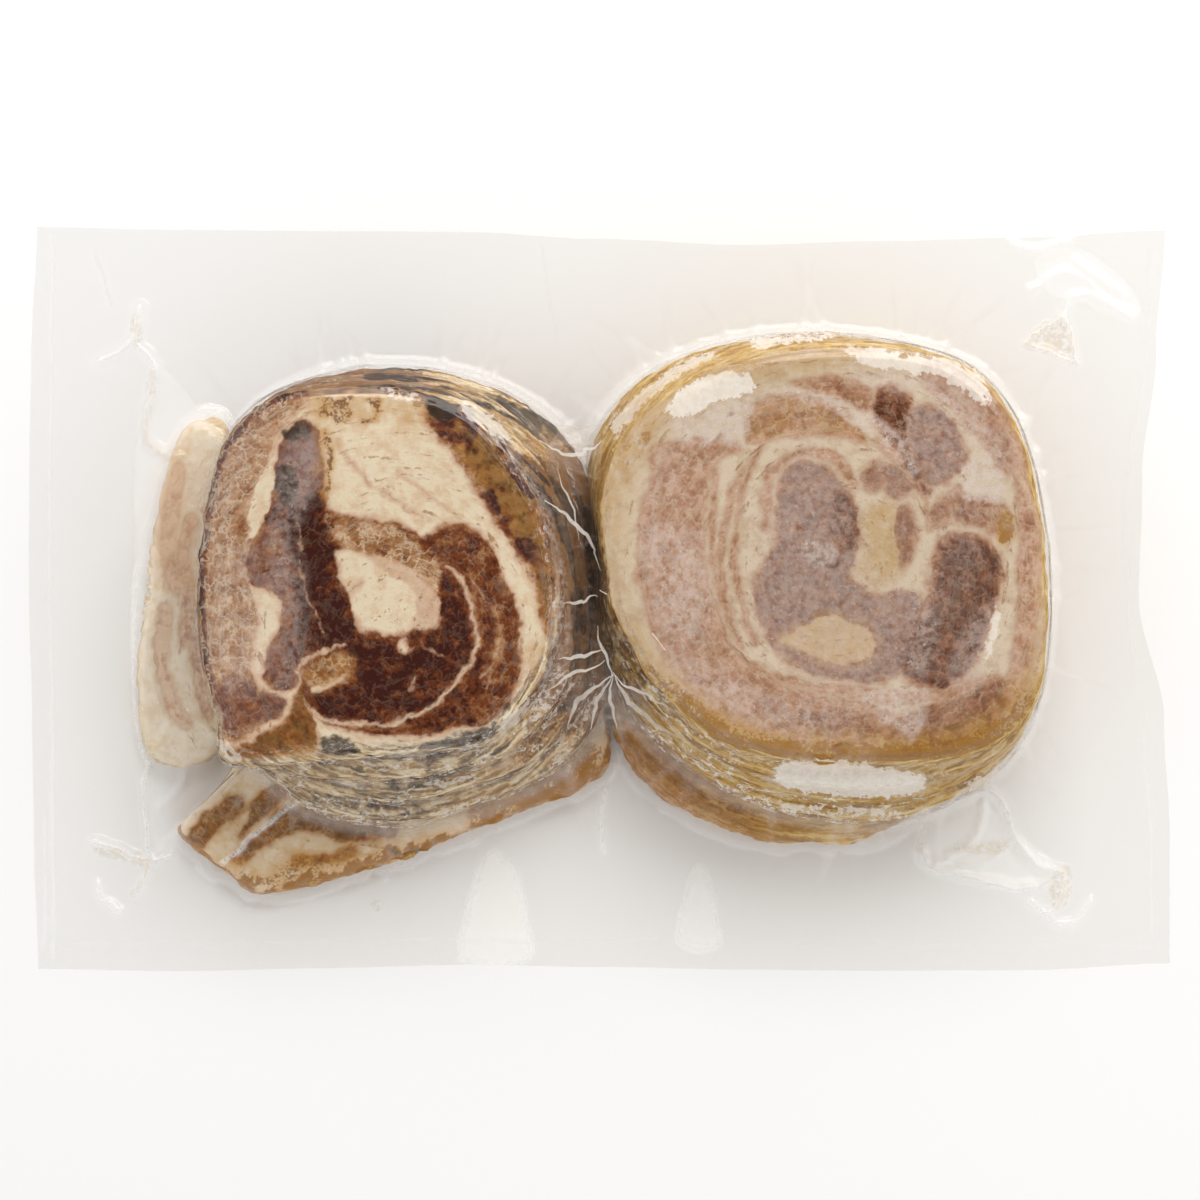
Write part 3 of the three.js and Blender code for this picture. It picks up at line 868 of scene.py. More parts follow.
def paint_dark_face(canvas):
    layers = canvas["layers"]
    lay_lean(canvas, within(canvas, DARK_OUTER_LEFT), 0.27, mauve=0.15)
    lay_lean(canvas, within(canvas, DARK_OUTER_RIGHT), 0.52, mauve=0.1)
    flat = (canvas["across"], canvas["down"])
    cloud = soft_step(bumps(flat, 22, 41), -0.5, 0.6)
    tint(canvas, "tone", 0.95, within(canvas, DARK_OUTER_RIGHT) - 3 * cloud, 3)
    tint(canvas, "stain", 0.6, within(canvas, DARK_OUTER_RIGHT) - 6 + 5 * cloud, 3)
    lay_fat(canvas, within(canvas, RIGHT_CREAM_TOP))
    lay_lean(canvas, along(canvas, SLATE_BAND, 13), 0.8, mauve=0.9, soft=3)
    lay_lean(canvas, within(canvas, DARK_FLAP), 0.8)
    tint(canvas, "stain", 0.35, within(canvas, DARK_FLAP), 3)
    tint(canvas, "tone", 0.66, within(canvas, MAUVE_FOOT), 5)
    tint(canvas, "mauve", 0.4, within(canvas, MAUVE_FOOT), 5)
    lay_lean(canvas, within(canvas, DARK_MAIN), 0.84, soft=1.5)
    tint(canvas, "tone", 0.68, within(canvas, DARK_CRESCENT), 5)
    tint(canvas, "tone", 0.33, within(canvas, DARK_UPPER_BAND), 3)
    tint(canvas, "tone", 1.0, within(canvas, DARK_HEART), 4)
    tint(canvas, "tone", 1.1, within(canvas, DARK_SPINE), 7)
    tint(canvas, "tone", 0.72, within(canvas, DARK_HEAD), 4)
    tint(canvas, "mauve", 0.75, within(canvas, DARK_HEAD), 5)
    tint(canvas, "tone", 0.62, within(canvas, DARK_LOBE), 5)
    tint(canvas, "mauve", 0.5, within(canvas, DARK_LOBE), 6)
    lay_fat(canvas, along(canvas, DARK_SEAM_THIN, 5))
    lay_fat(canvas, along(canvas, DARK_SEAM_LOW, 2))
    lay_fat(canvas, within(canvas, DARK_SEAM_WHITE) + 0.4)
    lay_fat(canvas, within(canvas, CREAM_CORE))
    tint(canvas, "fat", 0.55, within(canvas, CREAM_CORE_TAN), 3)
    lay_fat(canvas, within(canvas, CREAM_CORE_WHITE) + 0.5)
    tint(canvas, "fat", 3.0, within(canvas, CREAM_CORE_WHITE), 3)
    lay_fat(canvas, within(canvas, CREAM_PATCH_LEFT) + 0.2)
    tint(canvas, "fat", 3.0, within(canvas, DARK_SEAM_WHITE), 1.5)
    lay_fat(canvas, along(canvas, SPIRAL_SEAM, 4) + 0.1)
    for seam in FAINT_SEAMS:
        lay_fat(canvas, along(canvas, seam, 1.5) - 0.1)
    tint(canvas, "tone", 0.42, within(canvas, CURL_LOBE), 3)
    tint(canvas, "stain", 0.3, within(canvas, CURL_LOBE), 3)
    lay_fat(canvas, along(canvas, CURL_EDGE, 4))
    lay_fat(canvas, along(canvas, CURL_WEDGE, 6))
    lay_fat(canvas, within(canvas, WHITE_BLOB) + 0.3)
    lay_fat(canvas, along(canvas, FLAP_EDGE, 3.5))
    for patch in SCORCHED_PATCHES:
        tint(canvas, "char", 0.75, within(canvas, patch), 4)
    for patch in STAINED_PATCHES:
        tint(canvas, "stain", 0.6, within(canvas, patch), 6)
    for curl in AMBER_CURLS:
        tint(canvas, "stain", 1.1, along(canvas, curl, 4), 3)
    for vein in RED_VEINS:
        lay_lean(canvas, along(canvas, vein, 1.2) - 0.5, 0.3, soft=0.5)
    layers["marble"] = np.clip(1.2 - 1.5 * layers["tone"], 0.08, 1.0)


def paint_dark_rind(canvas, angle, share, depth, level):
    """The browned rind: a thin dark edge on the face, and a layered rim below it."""
    layers = canvas["layers"]
    far_side = soft_step(np.sin(angle), 0.1, 0.8)
    near_side = soft_step(np.cos(angle + 1.25), 0.1, 0.8)
    right_side = soft_step(np.cos(angle), 0.5, 1)
    far_left = soft_step(np.cos(angle - 2.5), 0.1, 0.7)
    broad = 0.015 + 0.045 * near_side
    skin = soft_step(share, 1 - broad * 1.7, 1 - broad * 0.4)
    layers["rim"] = np.maximum(layers["rim"], skin * near_side)
    edge = soft_step(share, 0.945, 0.985) * (1 - near_side)
    layers["fat"] = np.where(edge > 0.3, -2.0, layers["fat"])
    layers["tone"] += edge * (0.95 - layers["tone"])
    wall = (depth > 0) | (level > 0)
    layers["rim"][wall] = 1
    places = layers["run"].T * np.array([[0.8], [0.8], [0.6]])
    brown = soft_step(bumps(places, 1.5, 9 + level), -0.1, 0.8)
    slate = soft_step(bumps(places, 1.3, 19 + level, 2), -0.1, 0.4)
    # the walls that face the gap get deep pooled stock and a flat dose of scorched colour: partly
    # juice, partly painted shade of the narrow gap
    layers["stain"][wall] = (0.12 + 0.55 * brown + 1.3 * right_side + 0.9 * far_left)[wall]
    scorch_and_shade = slate * (0.64 - 0.14 * near_side - 0.15 * right_side) + 0.15 * right_side + 0.1 * far_side
    layers["char"][wall] = scorch_and_shade[wall]


def dark_slice(level, cells):
    def radius(theta):
        return left_radius(theta, level) - INSET

    mesh, angle, share, depth = slice_drum(LEFT_CENTRE, radius, level, cells, 20 + level)
    canvas = new_canvas(mesh, DARK_CORE_PLACE, fat=2.5, tone=0.5)
    if level == 0:
        paint_dark_face(canvas)
    paint_dark_rind(canvas, angle, share, depth, level)
    write_layers(mesh, canvas["layers"])
    closed_up(mesh)
    return piece_of(f"dark_slice_{level + 1}", mesh, dark_pork, "pork")


for level in range(LEVELS - 1):
    dark_slice(level, LOWER_CELLS if level else TOP_CELLS)

# ---------------------------------------------------------------------------
# The lowest slices: under each stack lies a whole slice that sticks out towards
# the near edge, and a loose strip of a slice leans against the left stack.
# They lie on the back film and the film is drawn down over their edges.

# painted light: the lowest slices get a lighter, more yellow palette than the stacks, to make up for
# the shade they lie in beside the stacks and under the film
low_pork = braised_pork(
    "braised_pork_lowest",
    lean=("#dcb48c", "#b5794a", "#8a4f29", "#5e3218"),
    fat=("#ecdcc2", "#d8ba8e", "#c8a078"),
    layer_brown="#a8764a",
    bloom="#9b857a",
    stock=("#c98f3c", "#8a5316"),
    scorched="#4d4636",
    rind=((0.25, "#dcc081"), (0.43, "#c79c50"), (0.56, "#ab7c34"), (0.75, "#754c1e")),
)

LOW_TOP = SLICE
RIGHT_LOWEST = [
    (-4, -8), (1, -27), (11, -47), (31, -60), (53, -64), (72, -62.5), (87, -54), (106, -36),
    (113, -10), (113, 20), (102, 50), (77, 64), (42, 66), (13, 56), (-1, 37), (-2, 10),
]
LEFT_LOWEST = [
    (-111, -60.5), (-99, -71.5), (-86, -77.5), (-53, -68), (-21, -55.5), (-3, -49), (3, -38),
    (-1, -10), (-4, 28), (-20, 47), (-45, 56), (-70, 55), (-89, 42), (-96, 12), (-95, -14),
    (-95, -38), (-101, -50),
]
LEFT_STRIP = [
    (-119, -40), (-122, -20), (-120, 0), (-117, 24), (-110, 45), (-99, 46), (-97, 30), (-98, 5),
    (-99, -15), (-98, -34), (-106, -43),
]


def low_slice(name, outline, middle, core, thick, cells, seed, paint):
    """A slice lying on the back film, its upper edge rounded down by the film."""
    centre = (middle[0] * MM, middle[1] * MM)
    radius = round_outline(in_metres(outline), centre)
    mesh = new_drum(cells, RIM_RINGS, "sheet")
    angle, share, ring = drum_places(mesh)
    depth = ring / RIM_RINGS
    around = round_the_rim(angle, depth)
    waver = bumps(around, 8 * MM, seed) * 1.0 * MM + bumps(around, 2.4 * MM, seed + 9) * 0.5 * MM
    outer = radius(angle) - 0.9 * MM + waver * soft_step(share, 0.85, 1)
    reach = share * outer + 0.8 * MM * np.sin(np.pi * depth) * share
    x = centre[0] + reach * np.cos(angle)
    y = centre[1] + reach * np.sin(angle)
    inward = (1 - share) * outer
    rounded = 2.0 * MM * (1 - soft_step(inward, -1 * MM, 4 * MM))
    uneven = 0.25 * MM * bumps((x, y), 9 * MM, seed + 3)
    z = (thick - rounded + uneven) * (1 - depth) + 0.25 * MM
    move_corners(mesh, x, y, z)
    canvas = new_canvas(mesh, core, fat=2.5, tone=0.4, marble=0.35)
    paint(canvas, angle, share, depth)
    write_layers(mesh, canvas["layers"])
    closed_up(mesh)
    return piece_of(name, mesh, low_pork, "pork")


def paint_ochre(canvas, angle, share, depth):
    layers = canvas["layers"]
    around = (np.cos(angle) * RIM_REACH, np.sin(angle) * RIM_REACH)
    brown = soft_step(bumps(around, 11, 61), -0.3, 0.6)
    layers["rim"] += 0.85
    layers["stain"] += 0.12 + 0.3 * brown
    left = soft_step(np.cos(angle - 3.75), 0.6, 0.95)
    lay_lean(canvas, (share - 0.8) * 20 * left - 0.5, 0.5, mauve=0.3)
    layers["rim"] *= 1 - 0.7 * left
    layers["rim"][(depth > 0.9) & (share < 0.97)] = 0


LOOSE_BARS = [
    (18, 0.5, [(196, 838), (214, 820), (234, 804)]),
    (16, 0.55, [(240, 828), (258, 808), (278, 792)]),
    (22, 0.62, [(282, 822), (310, 818), (345, 828), (386, 826)]),
    (12, 0.45, [(238, 858), (256, 842), (276, 830)]),
    (8, 0.4, [(296, 862), (326, 858), (352, 850)]),
]
LOOSE_FAT = [(214, 842), (228, 826), (240, 812), (250, 806), (248, 818), (232, 836), (222, 850)]
LOOSE_OCHRE = [
    (210, 858), (260, 868), (296, 850), (340, 848), (400, 842), (440, 830), (500, 812), (560, 788),
    (596, 770), (606, 784), (560, 806), (500, 828), (420, 858), (340, 886), (280, 896), (240, 884),
]
LOOSE_EDGE = [(230, 886), (280, 892), (340, 876), (400, 856), (450, 840), (520, 812), (590, 786)]
LOOSE_GREEN = [(385, 852), (405, 846), (432, 846), (430, 858), (402, 862)]
LOOSE_AMBER = [(470, 800), (540, 770), (590, 740), (608, 760), (600, 784), (540, 812), (480, 826)]


def paint_loose_low(canvas, angle, share, depth):
    layers = canvas["layers"]
    layers["stain"] += 0.3
    for width, tone, bar in LOOSE_BARS:
        lay_lean(canvas, along(canvas, bar, width) + 0.4, tone + 0.42, mauve=0.1)
    lay_fat(canvas, within(canvas, LOOSE_FAT))
    tint(canvas, "stain", 0.75, within(canvas, LOOSE_OCHRE), 6)
    tint(canvas, "stain", 1.0, within(canvas, LOOSE_AMBER), 8)
    ragged_edge = 2 * bumps((canvas["across"], canvas["down"]), 9, 63)
    tint(canvas, "stain", 1.4, along(canvas, LOOSE_EDGE, 12) + ragged_edge, 2)
    tint(canvas, "char", 0.55, within(canvas, LOOSE_GREEN), 5)
    layers["rim"] = np.where(depth > 0, 0.7, layers["rim"])
    layers["stain"] = np.where(depth > 0, 0.9, layers["stain"])


STRIP_TAN = [(160, 450), (200, 440), (204, 560), (198, 592), (156, 584), (150, 520)]
STRIP_BARS = [
    (14, 0.2, [(176, 470), (170, 510), (168, 560), (178, 590)]),
    (12, 0.3, [(190, 520), (184, 560), (190, 600), (186, 640)]),
    (11, 0.1, [(166, 610), (162, 650), (166, 690), (184, 722)]),
    (11, 0.3, [(196, 640), (200, 680), (206, 716)]),
]


def paint_strip(canvas, angle, share, depth):
    layers = canvas["layers"]
    layers["stain"] += 0.05
    for width, tone, bar in STRIP_BARS:
        lay_lean(canvas, along(canvas, bar, width), tone, mauve=0.1)
    tint(canvas, "stain", 0.5, within(canvas, STRIP_TAN), 8)
    layers["rim"] = np.where(depth > 0, 0.4, layers["rim"])


low_slice(
    "pale_slice_lowest", RIGHT_LOWEST, (54, 2), PALE_CORE_PLACE, LOW_TOP - 0.3 * MM, 110, 41,
    paint_ochre,
)
low_slice(
    "dark_slice_lowest", LEFT_LOWEST, (-56, -12), DARK_CORE_PLACE, LOW_TOP - 0.3 * MM, 130, 42,
    paint_loose_low,
)
low_slice(
    "loose_strip", LEFT_STRIP, (-109, 2), (420, 620), 7.0 * MM, 70, 43, paint_strip,
)

# ---------------------------------------------------------------------------
# The film: two sheets of clear nylon and polyethylene, each about 0.09 mm
# thick, blown, heat-sealed and drawn on by the vacuum. It is glossy and a
# little milky. Air caught under it shows white with a hard edge, and where it
# was gathered it lies in fine white folds that run round the stacks.


def vacuum_film(name, clear, air, juice, gathered):
    material, tree = new_material(name)
    layer, maths, between, mixed = shader_tools(tree)
    place = add(tree, "ShaderNodeTexCoord").outputs["Object"]
    crinkles = {"Vector": place, "Scale": 1 / (1.9 * MM), "Detail": 2, "Roughness": 0.65}
    if gathered:
        wrinkled = add(tree, "ShaderNodeTexNoise", crinkles).outputs["Color"]
        crinkle, mottle, _ = add(tree, "ShaderNodeSeparateXYZ", {0: wrinkled}).outputs
        air_edge = maths("MULTIPLY_ADD", crinkle, 4.4, maths("ADD", layer("air"), -2.2))
        air_mask = between(air_edge, -0.2, 0.5)
        patchy = maths("MULTIPLY_ADD", between(mottle, 0.3, 0.65), 0.18, 0.82)
        air_cover = maths("MULTIPLY", maths("MULTIPLY", air_mask, patchy), layer("air_strength"))
        cloudy = maths("MULTIPLY_ADD", between(mottle, 0.3, 0.66), 0.85, 0.15)
        specks = maths("MULTIPLY", between(crinkle, 0.6, 0.68), 1.3)
        haze = maths("MULTIPLY", layer("haze"), maths("MAXIMUM", cloudy, specks))
        warp = {0: layer("run", "Vector"), 1: crinkle}
        run = add(tree, "ShaderNodeVectorMath", warp, operation="ADD").outputs[0]
        gathers = {"Vector": run, "Scale": 0.6, "Detail": 3, "Roughness": 0.55}
        fold = add(tree, "ShaderNodeTexNoise", gathers).outputs["Fac"]
        off_line = maths("ABSOLUTE", maths("SUBTRACT", fold, 0.5))
        line = maths("SUBTRACT", 1.0, between(off_line, 0.004, 0.036))
        line = maths("MULTIPLY", line, maths("MULTIPLY_ADD", between(mottle, 0.35, 0.6), 0.8, 0.2))
        wide = maths("MULTIPLY", between(fold, 0.55, 0.7), 0.5)
        folds = maths("MULTIPLY", maths("MAXIMUM", line, wide), layer("folds"))
        white = maths("MAXIMUM", air_mask, maths("MINIMUM", maths("MULTIPLY", folds, 3), 1.0))
        cover = maths("MAXIMUM", maths("MAXIMUM", air_cover, folds), layer("veil"))
        cover = maths("MAXIMUM", cover, haze)
        relief = maths("MULTIPLY_ADD", layer("folds"), 1.6, 0.2)
        height = maths("MULTIPLY_ADD", fold, relief, maths("MULTIPLY", crinkle, 0.3))
    else:
        crinkle = add(tree, "ShaderNodeTexNoise", crinkles).outputs["Fac"]
        white = between(layer("veil"), 0.07, 0.13)
        cover = layer("veil")
        height = crinkle
    juiced = maths("MULTIPLY", layer("juice"), between(crinkle, 0.25, 0.6), clamp=True)
    colour = mixed(juiced, mixed(white, linear(clear), linear(air)), linear(juice))
    cover = maths("MAXIMUM", cover, maths("MULTIPLY", juiced, 0.55))
    cover = maths("MULTIPLY", cover, layer("present"), clamp=True)

    depth = {"Height": height, "Strength": 0.28 if gathered else 0.12, "Distance": 0.7 * MM}
    bump = add(tree, "ShaderNodeBump", depth).outputs[0]
    milk = {"Base Color": colour, "Roughness": 0.5, "Specular IOR Level": 0.0}
    milky = add(tree, "ShaderNodeBsdfPrincipled", milk).outputs[0]
    gone = add(tree, "ShaderNodeBsdfTransparent").outputs[0]
    body = add(tree, "ShaderNodeMixShader", {0: cover, 1: gone, 2: milky}).outputs[0]
    shine = {"Roughness": 0.09, "Normal": bump}
    mirror = add(tree, "ShaderNodeBsdfGlossy", shine).outputs[0]
    edge_on = add(tree, "ShaderNodeFresnel", {"IOR": 1.4, "Normal": bump}).outputs[0]
    gloss = maths("MULTIPLY", maths("MINIMUM", edge_on, 0.08), layer("present"))
    surface = add(tree, "ShaderNodeMixShader", {0: gloss, 1: body, 2: mirror}).outputs[0]
    add(tree, "ShaderNodeOutputMaterial", {"Surface": surface})
    return material


drawn_film = vacuum_film("nylon_film_drawn_on", "#d3c2b7", "#efe6da", "#bd9245", gathered=True)
# the flat film's white also paints the lamp's reflections on the flange, so it is near the paper's
# white
flat_film = vacuum_film("nylon_film_flat", "#b7a67f", "#fcfaf5", "#d9b35e", gathered=False)

FILM_CELLS = 150
FILM_GAP = 0.25 * MM
FILM_LOWEST = 1.3 * MM
FILM_EDGE_DROP = 0.95 * MM
WALL_HIGHEST = TOP - 0.7 * MM
STACK_VEIL = 0.006
GROOVE = 0.7 * MM
TUCK = 0.8 * MM
SKIRT = 7 * MM
FILM_RINGS = 44
STEP_STARTS = 0.42  # levels above a slice's top where the film leaves the one above
STEP_ENDS = 0.04


def film_canvas(mesh, veil):
    x, y, z = corners_of(mesh).T
    across, down = wandering(*seen_at(x, y, z), reach=1.6)
    count = len(across)
    layers = {
        "air": np.full(count, -8.0),
        "air_strength": np.ones(count),
        "veil": np.full(count, veil),
        "haze": np.zeros(count),
        "folds": np.zeros(count),
        "juice": np.zeros(count),
        "present": np.ones(count),
    }
    return {"across": across, "down": down, "layers": layers}


def catch_air(canvas, area, strength):
    layers = canvas["layers"]
    stronger = area > layers["air"]
    layers["air_strength"] = np.where(stronger, strength, layers["air_strength"])
    layers["air"] = np.maximum(layers["air"], area)


def film_over_stack(name, centre, radius, seed, paint):
    """The front film over one stack: its top, its stepped wall and a skirt at the foot."""
    mesh = new_drum(FILM_CELLS, FILM_RINGS, "open")
    angle, share, ring = drum_places(mesh)
    z_wall = WALL_HIGHEST - (WALL_HIGHEST - FILM_LOWEST) * ring / FILM_RINGS
    level = (TOP - z_wall) / SLICE
    drawn = radius(angle, 0.0)
    film_reach = drawn
    for step in range(1, LEVELS):
        own = radius(angle, float(step))
        drawn = np.maximum(own, drawn - TUCK)
        film_reach = film_reach + (drawn - film_reach) * soft_step(
            level, step - STEP_STARTS, step - STEP_ENDS
        )
    between_slices = np.exp(-(((level - np.round(level)) / 0.11) ** 2)) * (np.round(level) > 0)
    run = streak_place(angle, TOP - z_wall)
    soft_run = streak_place(angle, WALL_STREAKS * (TOP - z_wall))
    ridged = 1 - np.abs(bumps(soft_run.T * 0.6, 1, seed, 2)) * 3
    pleats = np.clip(ridged, 0, 1) ** 1.5
    waver = bumps(run.T * 0.16, 1, seed + 7, 2)
    low = np.clip(1 - z_wall / (4.5 * MM), 0, 1)
    reach = (
        film_reach
        + 0.35 * MM
        - GROOVE * between_slices * soft_step(z_wall, 3 * MM, 9 * MM) * (1 + 0.6 * waver)
        - 2.4 * MM * np.clip(1 - (TOP - z_wall) / (4 * MM), 0, 1) ** 2
        + (0.55 * MM * pleats + 0.3 * MM * waver) * soft_step(level, 0.25, 1.2)
        + SKIRT * low**2
    )
    reach = np.where(ring > 0, reach, share * reach)
    x = centre[0] + reach * np.cos(angle)
    y = centre[1] + reach * np.sin(angle)
    rim_drop = FILM_EDGE_DROP * soft_step(share, 0.94, 1)
    z_top = crown(x, y) + FILM_GAP - rim_drop
    edge_z = TOP - 2 * FACE_RELIEF + FILM_GAP - FILM_EDGE_DROP
    blend = ring / FILM_RINGS
    rim_z = crown(x, y) - (TOP - 2 * FACE_RELIEF) + edge_z
    z = np.where(ring > 0, rim_z * (1 - blend) + FILM_LOWEST * blend, z_top)
    move_corners(mesh, x, y, z)
    canvas = film_canvas(mesh, STACK_VEIL)
    layers = canvas["layers"]
    inner = np.where(ring > 0, 0, (share - 1) * radius(angle, 0.0))
    layers["run"] = streak_place(angle, WALL_STREAKS * (TOP - z_wall) + inner)
    layers["present"] = soft_step(z, 2 * MM, 7 * MM)
    paint(canvas, angle, share, ring)
    write_layers(mesh, layers)
    closed_up(mesh)
    return piece_of(name, mesh, drawn_film, "clear_film")


# Air under the film, as how white it is and its outline in the photograph, and
# haze, where the film lies off the meat by a hair, with the softness of its edge.
RIGHT_AIR = [
    (0.85, [
        (668, 402), (682, 386), (702, 376), (728, 371), (750, 376), (757, 386), (744, 396),
        (722, 402), (700, 412), (680, 420), (664, 414),
    ]),
    (0.7, [
        (838, 350), (862, 346), (900, 350), (940, 358), (968, 366), (984, 380), (992, 400),
        (978, 402), (960, 388), (930, 376), (896, 370), (862, 364),
    ]),
    (0.6, [(994, 608), (1001, 614), (998, 636), (990, 656), (984, 662), (988, 640)]),
    (1.0, [
        (772, 776), (784, 762), (826, 760), (868, 764), (902, 770), (926, 778), (912, 796),
        (866, 798), (824, 794), (788, 790),
    ]),
    (0.8, [(764, 806), (800, 804), (850, 807), (904, 808), (888, 817), (830, 815), (780, 812)]),
    (0.65, [(966, 784), (982, 776), (1004, 768), (996, 784), (978, 792)]),
    (0.6, [
        (612, 420), (636, 396), (664, 374), (696, 356), (716, 350), (712, 358), (680, 374),
        (655, 394), (636, 416), (618, 438),
    ]),
    (0.75, [(752, 340), (800, 334), (838, 334), (820, 341), (780, 345), (756, 348)]),
]
RIGHT_HAZE = [
    (0.62, 1.2, [
        (672, 422), (700, 410), (748, 396), (756, 404), (748, 432), (738, 446), (716, 440),
        (704, 446), (680, 440),
    ]),
    (0.6, 1.5, [
        (786, 388), (820, 394), (852, 404), (882, 420), (904, 440), (918, 468), (908, 474),
        (888, 450), (862, 430), (834, 412), (800, 402),
    ]),
    (0.3, 2, [
        (912, 406), (940, 408), (960, 434), (968, 458), (956, 476), (934, 478), (916, 456),
        (904, 430),
    ]),
    (0.75, 1.0, [
        (966, 458), (985, 452), (1002, 472), (1006, 498), (996, 504), (966, 500), (958, 486),
    ]),
    (0.5, 5, [
        (846, 590), (880, 580), (910, 588), (930, 608), (934, 640), (924, 672), (900, 668),
        (884, 640), (862, 612),
    ]),
    (0.5, 7, [
        (644, 530), (668, 520), (700, 540), (708, 590), (700, 640), (672, 640), (650, 600),
    ]),
    (0.3, 9, [
        (770, 500), (784, 462), (820, 460), (850, 500), (860, 560), (910, 590), (920, 650),
        (880, 690), (800, 676), (756, 640), (752, 590),
    ]),
    (0.6, 2, [
        (866, 692), (900, 686), (928, 690), (926, 712), (910, 742), (896, 730), (880, 716),
        (868, 704),
    ]),
    (0.42, 6, [
        (664, 650), (700, 660), (760, 690), (820, 706), (840, 730), (800, 736), (740, 722),
        (690, 696),
    ]),
    (0.5, 5, [
        (850, 366), (900, 372), (940, 384), (970, 404), (992, 430), (1006, 462), (984, 452),
        (956, 420), (920, 396), (860, 384),
    ]),
    (0.7, 4, [(772, 772), (800, 760), (868, 763), (926, 776), (912, 794), (830, 792), (786, 790)]),
    (0.6, 3, [(800, 548), (812, 538), (832, 544), (838, 556), (824, 568), (806, 562)]),
    (0.35, 4, [(958, 640), (992, 600), (1002, 620), (990, 670), (966, 690), (950, 676)]),
]
RIGHT_JUICE = [
    [(636, 400), (660, 392), (668, 410), (660, 440), (642, 446), (634, 420)],
    [(690, 372), (760, 352), (840, 342), (870, 346), (800, 362), (730, 374)],
    [
        (690, 738), (760, 748), (850, 758), (950, 760), (1010, 742), (1000, 760), (900, 768),
        (780, 764), (710, 752),
    ],
    [(1002, 508), (1016, 512), (1018, 526), (1006, 532), (1000, 520)],
    [(606, 470), (616, 460), (622, 500), (624, 560), (620, 600), (608, 560)],
]


def paint_right_film(canvas, angle, share, ring):
    layers = canvas["layers"]
    flat = (canvas["across"], canvas["down"])
    layers["haze"] += (ring == 0) * 0.16 * soft_step(bumps(flat, 60, 31), -0.5, 0.6)
    for strength, patch in RIGHT_AIR:
        catch_air(canvas, within(canvas, patch), strength)
    for amount, soft, patch in RIGHT_HAZE:
        tint(canvas, "haze", amount, within(canvas, patch), soft)
    for patch in RIGHT_JUICE:
        tint(canvas, "juice", 0.45, within(canvas, patch), 5)
    near_left = soft_step(np.cos(angle - 4.1), -0.1, 0.8)
    facing_gap = soft_step(np.cos(angle - 3.1), 0.8, 1)
    rim = soft_step(share, 0.9, 0.99)
    wall = (0.12 + 0.75 * near_left**2) * (1 - 0.8 * facing_gap)
    layers["folds"] = np.where(ring > 0, wall, 0.2 * rim * near_left)


LEFT_AIR = [
    (0.6, [(462, 402), (480, 408), (496, 420), (510, 436), (500, 440), (484, 428), (466, 420)]),
    (0.5, [(384, 390), (402, 393), (420, 394), (412, 400), (390, 399)]),
    (0.5, [(214, 738), (232, 744), (244, 754), (232, 764), (220, 754)]),
    (0.5, [(500, 716), (520, 706), (536, 690), (528, 708), (512, 728), (498, 738)]),
]
LEFT_HAZE = [
    (0.42, 2, [
        (480, 420), (508, 444), (530, 474), (548, 505), (560, 545), (566, 590), (560, 590),
        (554, 548), (540, 510), (518, 472), (494, 444),
    ]),
    (0.45, 3, [(552, 585), (566, 590), (568, 640), (558, 672), (540, 690), (545, 650), (552, 620)]),
    (0.3, 8, [
        (214, 560), (240, 540), (262, 590), (270, 650), (258, 682), (236, 692), (216, 684), (206, 640),
    ]),
    (0.3, 5, [(280, 470), (300, 430), (316, 440), (318, 480), (300, 520), (270, 540)]),
    (0.22, 8, [
        (204, 490), (230, 440), (270, 408), (262, 440), (236, 500), (220, 560), (204, 560),
    ]),
    (0.28, 6, [(280, 520), (300, 560), (306, 640), (290, 690), (270, 690), (284, 620), (268, 580)]),
    (0.2, 3, [(330, 742), (400, 738), (470, 730), (500, 716), (490, 744), (430, 758), (340, 762)]),
]
LEFT_JUICE = [
    [(520, 410), (545, 425), (562, 445), (570, 470), (556, 466), (536, 440)],
    [(560, 500), (572, 520), (580, 560), (572, 600), (566, 560)],
    [(430, 800), (500, 780), (560, 750), (590, 720), (580, 750), (520, 790)],
]


def paint_left_film(canvas, angle, share, ring):
    layers = canvas["layers"]
    for strength, patch in LEFT_AIR:
        catch_air(canvas, within(canvas, patch), strength)
    for amount, soft, patch in LEFT_HAZE:
        tint(canvas, "haze", amount, within(canvas, patch), soft)
    for patch in LEFT_JUICE:
        tint(canvas, "juice", 0.4, within(canvas, patch), 5)
    near_side = soft_step(np.cos(angle + 1.2), 0, 0.8)
    right_side = soft_step(np.cos(angle - 0.2), 0.3, 1)
    facing_gap = soft_step(np.cos(angle), 0.85, 1)
    rim = soft_step(share, 0.86, 0.97)
    layers["haze"] += (ring > 0) * 0.12 * near_side
    wall = (0.2 + 0.42 * near_side) * (1 - 0.8 * facing_gap)
    on_face = rim * np.maximum(0.5 * near_side, 0.4 * right_side)
    layers["folds"] = np.where(ring > 0, wall, on_face)


film_over_stack("film_over_right_stack", RIGHT_CENTRE, right_radius, 5, paint_right_film)
film_over_stack("film_over_left_stack", LEFT_CENTRE, left_radius, 6, paint_left_film)

# ---------------------------------------------------------------------------
# Between the stacks the front film hangs like a saddle from rim to rim. It is
# pulled into folds across the gap, and some are drawn out into white strands.

SADDLE_NEAR = -36 * MM
SADDLE_FAR = 46 * MM
SADDLE_CELLS = (44, 180)
SADDLE_DROP = 5.5 * MM
SADDLE_END_DROP = 26 * MM
SADDLE_DEEPEST = 9 * MM


def side_of(radius, centre, towards, y, level):
    """Where a stack's side stands, at a place along the gap and a level."""
    theta = towards + np.radians(np.linspace(-80, 80, 161))
    found = []
    for step in (0.0, LEVELS - 2.0):
        reach = radius(theta, step)
        side_x = centre[0] + reach * np.cos(theta)
        side_y = centre[1] + reach * np.sin(theta)
        order = np.argsort(side_y)
        found.append(np.interp(y, side_y[order], side_x[order]))
    part = np.clip(level / (LEVELS - 2), 0, 1)
    return found[0] * (1 - part) + found[1] * part


